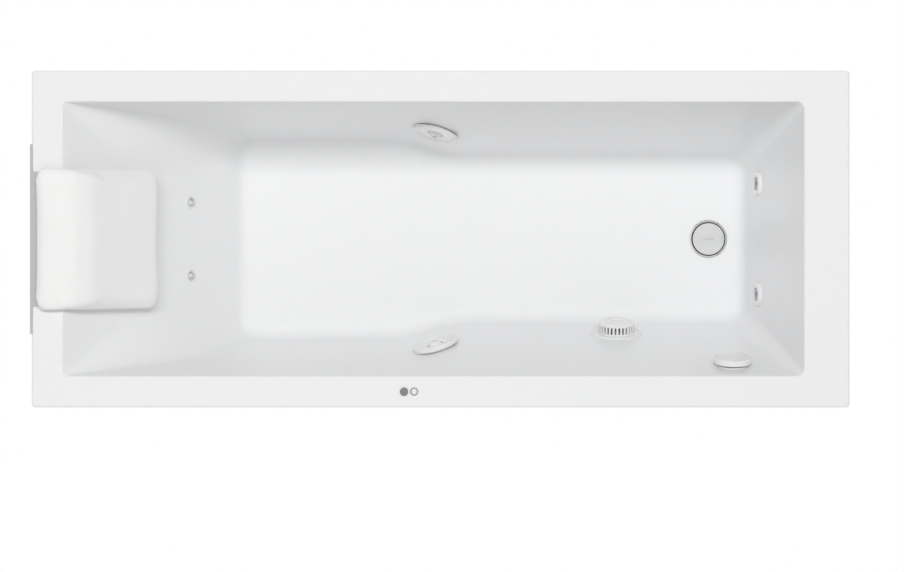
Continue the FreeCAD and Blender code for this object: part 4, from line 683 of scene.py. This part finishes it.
def cushionMesh():
    lean = bath["headLean"]
    slope = cushion["reach"] * math.hypot(1.0, lean) / lean
    long = cushion["bend"] - cushion["outer"] + slope
    halfLong, halfWide, corner = long / 2, cushion["halfWide"], cushion["corner"]
    count = cushion["steps"]

    def flatPoint(a, b):
        ring = max(abs(a), abs(b))
        if ring == 0:
            return 0.0, 0.0, 0.0
        edge = Vector((a / ring * halfLong, b / ring * halfWide))
        inner = Vector((max(-halfLong + corner, min(halfLong - corner, edge.x)),
                        max(-halfWide + corner, min(halfWide - corner, edge.y))))
        rim = inner + (edge - inner).normalized() * corner
        return rim.x * ring, rim.y * ring, ring

    def level(u, ring, upper):
        inside = (1 - ring) * halfWide
        roll = math.sqrt(max(1 - (1 - min(inside / cushion["edge"], 1.0)) ** 2, 0.0))
        share = min(max((u + halfLong - cushion["growFrom"]) / cushion["growOver"], 0.0), 1.0)
        share = share * share * (3 - 2 * share)
        thick = cushion["overRim"] + (cushion["onSlope"] - cushion["overRim"]) * share
        thick += cushion["crown"] * (1 - ring * ring)
        under = cushion["under"]
        return thick * (under + (1 - under) * roll) if upper else thick * under * (1 - roll)

    points, faces, index = [], [], {}
    steps = [math.sin(math.pi / 2 * (2 * i / count - 1)) for i in range(count + 1)]
    for upper in (True, False):
        for i, a in enumerate(steps):
            for j, b in enumerate(steps):
                u, v, ring = flatPoint(a, b)
                border = i in (0, count) or j in (0, count)
                if border and not upper:
                    index[(upper, i, j)] = index[(True, i, j)]
                    continue
                spot = restPoint(u + halfLong, level(u, ring, upper))
                index[(upper, i, j)] = len(points)
                points.append((spot.x * mm, v * mm, spot.y * mm))
    for upper in (True, False):
        for i in range(count):
            for j in range(count):
                spots = ((i, j), (i + 1, j), (i + 1, j + 1), (i, j + 1))
                face = [index[(upper, *spot)] for spot in spots]
                faces.append(face if upper else face[::-1])
    mesh = bpy.data.meshes.new("neckCushion")
    mesh.from_pydata(points, [], faces)
    mesh.validate()
    return mesh


def swollen(thing):
    # cloth under pressure fills the slab out; no point moves further than the cap
    remesh = thing.modifiers.new("remesh", "REMESH")
    remesh.mode = "VOXEL"
    remesh.voxel_size = cushion["voxel"]
    settled(thing)
    rest = [v.co.copy() for v in thing.data.vertices]
    cloth = thing.modifiers.new("fill", "CLOTH")
    cloth.settings.use_pressure = True
    cloth.settings.uniform_pressure_force = cushion["pressure"]
    cloth.settings.effector_weights.gravity = 0.0
    for frameNumber in range(1, cushion["frames"] + 1):
        scene.frame_set(frameNumber)
    settled(thing)
    scene.frame_set(1)
    for vertex, start in zip(thing.data.vertices, rest):
        move = vertex.co - start
        if move.length > cushion["cap"]:
            vertex.co = start + move.normalized() * cushion["cap"]
    shape = bmesh.new()
    shape.from_mesh(thing.data)
    for _ in range(cushion["smoothing"]):
        bmesh.ops.smooth_vert(
            shape, verts=shape.verts, factor=0.5, use_axis_x=True, use_axis_y=True, use_axis_z=True)
    shape.to_mesh(thing.data)
    shape.free()


def restedOnBath(thing):
    # the underside stays just above the rim and the slope, and is flat there
    rimTop = (bath["floorZ"] + bath["depth"] + cushion["lift"]) * mm
    normal = Vector((1.0, 0.0, bath["headLean"])).normalized()
    edge = Vector((cushion["bend"], 0.0, bath["floorZ"] + bath["depth"])) * mm
    for vertex in thing.data.vertices:
        above = vertex.co.z - rimTop
        outOfSlope = (vertex.co - edge).dot(normal) - cushion["lift"] * mm * 0.4
        if above < 0 and outOfSlope < 0:
            if above > outOfSlope:
                vertex.co.z -= above
            else:
                vertex.co -= normal * outOfSlope


neckCushion = linked("neckCushion", cushionMesh(), "cushion_foam")
swollen(neckCushion)
restedOnBath(neckCushion)
rounder = neckCushion.modifiers.new("rounder", "SUBSURF")
rounder.levels = rounder.render_levels = 1
settled(neckCushion)
for face in neckCushion.data.polygons:
    face.use_smooth = True
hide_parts("headrest_cushion")
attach(neckCushion, "headrest")
print("neck cushion:", len(neckCushion.data.polygons), "faces")


def grown(name, build, values, finishName, body, sites):
    # a Geometry Nodes recipe on a list of (place, axis, size), run once and kept as a plain mesh.
    # Sites of a path have a fourth value, true where an edge leads on to the next site
    tree = bpy.data.node_groups.new(name, "GeometryNodeTree")
    tree.interface.new_socket("Sites", in_out="INPUT", socket_type="NodeSocketGeometry")
    for label, value in values.items():
        kind = "NodeSocketInt" if isinstance(value, int) else "NodeSocketFloat"
        tree.interface.new_socket(label, in_out="INPUT", socket_type=kind)
    tree.interface.new_socket("Shape", in_out="OUTPUT", socket_type="NodeSocketGeometry")
    given, result = tree.nodes.new("NodeGroupInput"), tree.nodes.new("NodeGroupOutput")
    start = Wire(tree)
    shape = build(start, Wire(tree, given.outputs["Sites"]),
                  {label: Wire(tree, given.outputs[label]) for label in values})
    real = start.node("GeometryNodeRealizeInstances", inputs={"Geometry": shape})
    painted = start.node("GeometryNodeSetMaterial", inputs={
        "Geometry": real, "Material": finishes[finishName]})
    tree.links.new(painted.socket, result.inputs["Shape"])
    mesh = bpy.data.meshes.new(name)
    joined = len(sites[0]) == 4
    edges = [(i, i + 1) for i, site in enumerate(sites[:-1]) if site[3]] if joined else []
    mesh.from_pydata([Vector(site[0]) * mm for site in sites], edges, [])
    mesh.attributes.new("axis", "FLOAT_VECTOR", "POINT").data.foreach_set(
        "vector", [part for site in sites for part in Vector(site[1]).normalized()])
    mesh.attributes.new("size", "FLOAT", "POINT").data.foreach_set(
        "value", [site[2] * mm for site in sites])
    thing = bpy.data.objects.new(name, mesh)
    scene.collection.objects.link(thing)
    grow = thing.modifiers.new("grow", "NODES")
    grow.node_group = tree
    for item in tree.interface.items_tree:
        if item.item_type == "SOCKET" and item.in_out == "INPUT" and item.name in values:
            grow[item.identifier] = values[item.name]
    settled(thing)
    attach(thing, body)
    print(name + ":", len(thing.data.polygons), "faces")
    return thing


def alongPath(start, sites, values):
    # points at a fixed pitch along the curve that the sites make
    path = start.node("GeometryNodeMeshToCurve", inputs={"Mesh": sites})
    return start.node("GeometryNodeCurveToPoints", {"mode": "LENGTH"}, {
        "Curve": path, "Length": values["pitch"]})


def circle(start, resolution, radius):
    return start.node("GeometryNodeCurvePrimitiveCircle", inputs={"Resolution": resolution, "Radius": radius})


def swept(start, path, profile, **more):
    return start.node("GeometryNodeCurveToMesh", inputs={"Curve": path, "Profile Curve": profile, **more})


def placed(start, points, shape, **more):
    return start.node("GeometryNodeInstanceOnPoints", inputs={"Points": points, "Instance": shape, **more})


def onSites(start, sites, shape):
    # one copy of a shape at each site, its Z along the site's axis and its scale the site's size
    kind = "GeometryNodeInputNamedAttribute"
    axis = start.node(kind, {"data_type": "FLOAT_VECTOR"}, {"Name": "axis"})
    size = start.node(kind, {"data_type": "FLOAT"}, {"Name": "size"})
    turn = start.node("FunctionNodeAlignRotationToVector", {"axis": "Z"}, {"Vector": axis})
    points = start.node("GeometryNodeMeshToPoints", inputs={"Mesh": sites})
    return placed(start, points, shape, Rotation=turn, Scale=size)


def raised(start, mesh, top, offset, scale):
    # a flat face moved along its normal, then made smaller
    pushed = start.node("GeometryNodeExtrudeMesh", inputs={
        "Mesh": mesh, "Selection": top, "Offset Scale": offset, "Individual": False})
    newTop = Wire(start.tree, pushed.socket.node.outputs["Top"])
    smaller = start.node("GeometryNodeScaleElements", inputs={
        "Geometry": pushed, "Selection": newTop, "Scale": scale})
    return smaller, newTop


def screwHeads(start, sites, values):
    # a head with a chamfer and a round socket, one unit in radius
    head = start.node("GeometryNodeMeshCylinder", inputs={
        "Vertices": values["sides"], "Radius": 1.0, "Depth": values["height"]})
    top = Wire(start.tree, head.socket.node.outputs["Top"])
    shape, top = raised(start, head, top, values["chamfer"], 0.86)
    shape, top = raised(start, shape, top, 0.0, values["socket"])
    shape, top = raised(start, shape, top, values["height"] * -0.6, 0.96)
    return onSites(start, sites, shape)


pumpSpot = Vector((-680.0, 0.0, 245.0))


def ringOf(count, radius, y, start):
    # places round the pump's axis, each with its outward direction
    spots = []
    for i in range(count):
        angle = start + 2 * math.pi * i / count
        out = Vector((math.cos(angle), 0.0, math.sin(angle)))
        spots.append((pumpSpot + out * radius + Vector((0, y, 0)), out))
    return spots


screwCounts = {"cover": 8, "flange": 6, "fan": 4}
# ring radius, place along the pump's axis, first angle and screw size
screwRings = {"cover": (73.5, -163.4, 0.2, 4.6), "flange": (62.8, -84.0, 0.26, 2.9),
              "fan": (64.4, 108.0, math.pi / 4, 2.6)}
headOf = {"cover": (0, -1, 0), "flange": (0, 1, 0)}
pumpHeads = []
for ringName, (radius, y, start, size) in screwRings.items():
    for spot, out in ringOf(screwCounts[ringName], radius, y, start):
        pumpHeads.append((spot, headOf.get(ringName, out), size))
lidScrews = [((x, y, 291.8), (0, 0, 1), 3.2) for x in (-787, -663) for y in (220, 278)]
boxScrews = [((x, y, 337.6), (0, 0, 1), 2.6) for x in (-708, -652) for y in (-29, 33)]
pumpHead = {"sides": 24, "height": 0.75, "chamfer": 0.12, "socket": 0.6}
lidHead = {"sides": 24, "height": 0.5, "chamfer": 0.16, "socket": 0.55}
grown("pumpScrews", screwHeads, pumpHead, "steel", "bath", pumpHeads)
grown("lidScrews", screwHeads, lidHead, "zinc_steel", "bath", lidScrews + boxScrews)


def screwThread(start, sites, values):
    # a spiral swept with a three-sided profile
    spiral = start.node("GeometryNodeCurveSpiral", inputs={
        "Resolution": 20, "Rotations": values["turns"], "Start Radius": values["radius"],
        "End Radius": values["radius"], "Height": values["height"]})
    thread = swept(start, spiral, circle(start, 3, values["tooth"]), **{"Fill Caps": True})
    return placed(start, start.node("GeometryNodeMeshToPoints", inputs={"Mesh": sites}), thread)


threadValues = {"turns": 52.0, "radius": 0.0058, "height": 0.104, "tooth": 0.0007}
footThread = {"head": -820.0, "foot": 800.0, "y": 245.0, "z": 16.5}
for end in ("head", "foot"):
    footX = footThread[end]
    for side, way in (("front", -1), ("back", 1)):
        spot = (footX, way * footThread["y"], footThread["z"])
        grown(f"thread_{end}_{side}", screwThread, threadValues, "foot_plastic",
              f"levelling_foot_{end}_{side}", [(spot, (0, 0, 1), 1.0)])


def roundedPath(corners, radius, step=3.0):
    # straight runs joined by arcs
    corners = [Vector(c) for c in corners]
    points = [corners[0]]
    for before, corner, after in zip(corners, corners[1:], corners[2:]):
        first, second = (before - corner).normalized(), (after - corner).normalized()
        angle = first.angle(second)
        if angle > math.pi - 0.01:
            continue
        reach = radius / math.tan(angle / 2)
        middle = corner + (first + second).normalized() * (radius / math.sin(angle / 2))
        start, end = corner + first * reach - middle, corner + second * reach - middle
        turn = start.angle(end)
        count = max(int(radius * turn / step), 2)
        for i in range(count + 1):
            share = i / count
            blend = start * math.sin((1 - share) * turn) + end * math.sin(share * turn)
            points.append(middle + blend / math.sin(turn))
    points.append(corners[-1])
    return points


def pathSites(points):
    ahead = points[1:] + [points[-1] * 2 - points[-2]]
    return [(point, after - point, 1.0, True) for point, after in zip(points, ahead)]


def hoseRibs(start, sites, values):
    # one ring every few millimetres along the hose
    spots = alongPath(start, sites, values)
    turn = Wire(start.tree, spots.socket.node.outputs["Rotation"])
    ring = swept(start, circle(start, 28, values["radius"]), circle(start, 6, values["rib"]))
    return placed(start, spots, ring, Rotation=turn)


hosePath = roundedPath([(614, -283.4, 466), (614, -283.4, 460.6), (614, -198.6, 119), (595, -84, 119),
                        (595, -60, 119)], 30)
grown("hoseRibs", hoseRibs, {"pitch": 0.0042, "radius": 0.0120, "rib": 0.0008}, "white_pipe", "bath",
      pathSites(hosePath))


def hoseClips(start, sites, values):
    # a band with a screw housing, one unit in inner radius
    profile = start.node("GeometryNodeCurvePrimitiveQuadrilateral", inputs={
        "Width": values["thick"], "Height": values["wide"]})
    band = swept(start, circle(start, 48, 1.03), profile)
    block = start.node("GeometryNodeMeshCube", inputs={"Size": (0.30, 0.62, 0.56)})
    housing = start.node("GeometryNodeTransform", inputs={
        "Geometry": block, "Translation": (1.16, 0.0, 0.0)})
    screw = start.node("GeometryNodeMeshCylinder", inputs={"Vertices": 12, "Radius": 0.16, "Depth": 1.0})
    screw = start.node("GeometryNodeTransform", inputs={
        "Geometry": screw, "Translation": (1.20, 0.12, 0.0), "Rotation": (math.pi / 2, 0.0, 0.0)})
    both = start.node("GeometryNodeJoinGeometry")
    for part in (band, housing, screw):
        start.tree.links.new(part.socket, both.socket.node.inputs[0])
    return onSites(start, sites, both)


grown("hoseClips", hoseClips, {"thick": 0.06, "wide": 0.5}, "steel", "bath",
      [((614, -283.4, 464.0), (0, 0, 1), 12.6), ((595, -64, 119), (0, 1, 0), 12.6)])


def weldBeads(start, sites, values):
    # overlapping drops along each seam, with a fixed seed
    spots = alongPath(start, sites, values)
    drop = start.node("GeometryNodeMeshIcoSphere", inputs={"Radius": values["drop"], "Subdivisions": 2})
    size = start.node("FunctionNodeRandomValue", {"data_type": "FLOAT"}, out=1)
    for key, value in ((2, 0.75), (3, 1.15), ("Seed", 7)):
        size.socket.node.inputs[key].default_value = value
    return placed(start, spots, drop, Scale=size)


rails = {"x": (-820, -540, -330, 80, 490, 800), "y": 300, "halfWide": 15, "low": 108, "high": 136}
seams = []
for railX in rails["x"]:
    for way in (-1, 1):
        for edgeX in (-rails["halfWide"], rails["halfWide"]):
            seams += [((railX + edgeX, way * rails["y"], rails["low"]), (0, 0, 1), 1.0, True),
                      ((railX + edgeX, way * rails["y"], rails["high"]), (0, 0, 1), 1.0, False)]
grown("weldBeads", weldBeads, {"pitch": 0.0016, "drop": 0.0019}, "zinc_steel", "bath", seams)

# the plug's black rubber ring, which also paints the shadow of the gap round the cap as a dark line, and the
# darker strip across it
plugLook = {"drainX": 595.0, "ring": 36.3, "ringThick": 1.5, "ringHeight": 164.2, "stripLong": 27.0,
            "stripWide": 5.0, "stripTop": 169.15, "stripThick": 1.0, "arcSteps": 8}


def sealRing(start, sites, values):
    band = swept(start, circle(start, 96, values["radius"]), circle(start, 12, values["thick"]))
    return placed(start, start.node("GeometryNodeMeshToPoints", inputs={"Mesh": sites}), band)


sealValues = {"radius": plugLook["ring"] * mm, "thick": plugLook["ringThick"] * mm}
# a real rubber seal, made black and wide enough to paint the gap's shadow round the cap
grown("plugSeal", sealRing, sealValues, "rubber", "drain_plug",
      [((plugLook["drainX"], 0, plugLook["ringHeight"]), (0, 0, 1), 1.0)])


def capGroove():
    # a long rounded strip, sunk at its ends by the crown of the cap
    half, r = plugLook["stripLong"] / 2, plugLook["stripWide"] / 2
    outline = []
    for side in (1, -1):
        for step in range(plugLook["arcSteps"] + 1):
            angle = -math.pi / 2 + math.pi * step / plugLook["arcSteps"]
            outline.append((side * (half - r + r * math.cos(angle)), side * r * math.sin(angle)))
    top = plugLook["stripTop"]
    count = len(outline)
    points = [((plugLook["drainX"] + x) * mm, y * mm, z * mm)
              for z in (top - plugLook["stripThick"], top) for x, y in outline]
    faces = [tuple(reversed(range(count))), tuple(range(count, 2 * count))]
    faces += [(i, (i + 1) % count, count + (i + 1) % count, count + i) for i in range(count)]
    mesh = bpy.data.meshes.new("capGroove")
    mesh.from_pydata(points, [], faces)
    return mesh


groove = linked("capGroove", capGroove(), "steel")
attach(groove, "drain_plug")
print("drain details made")
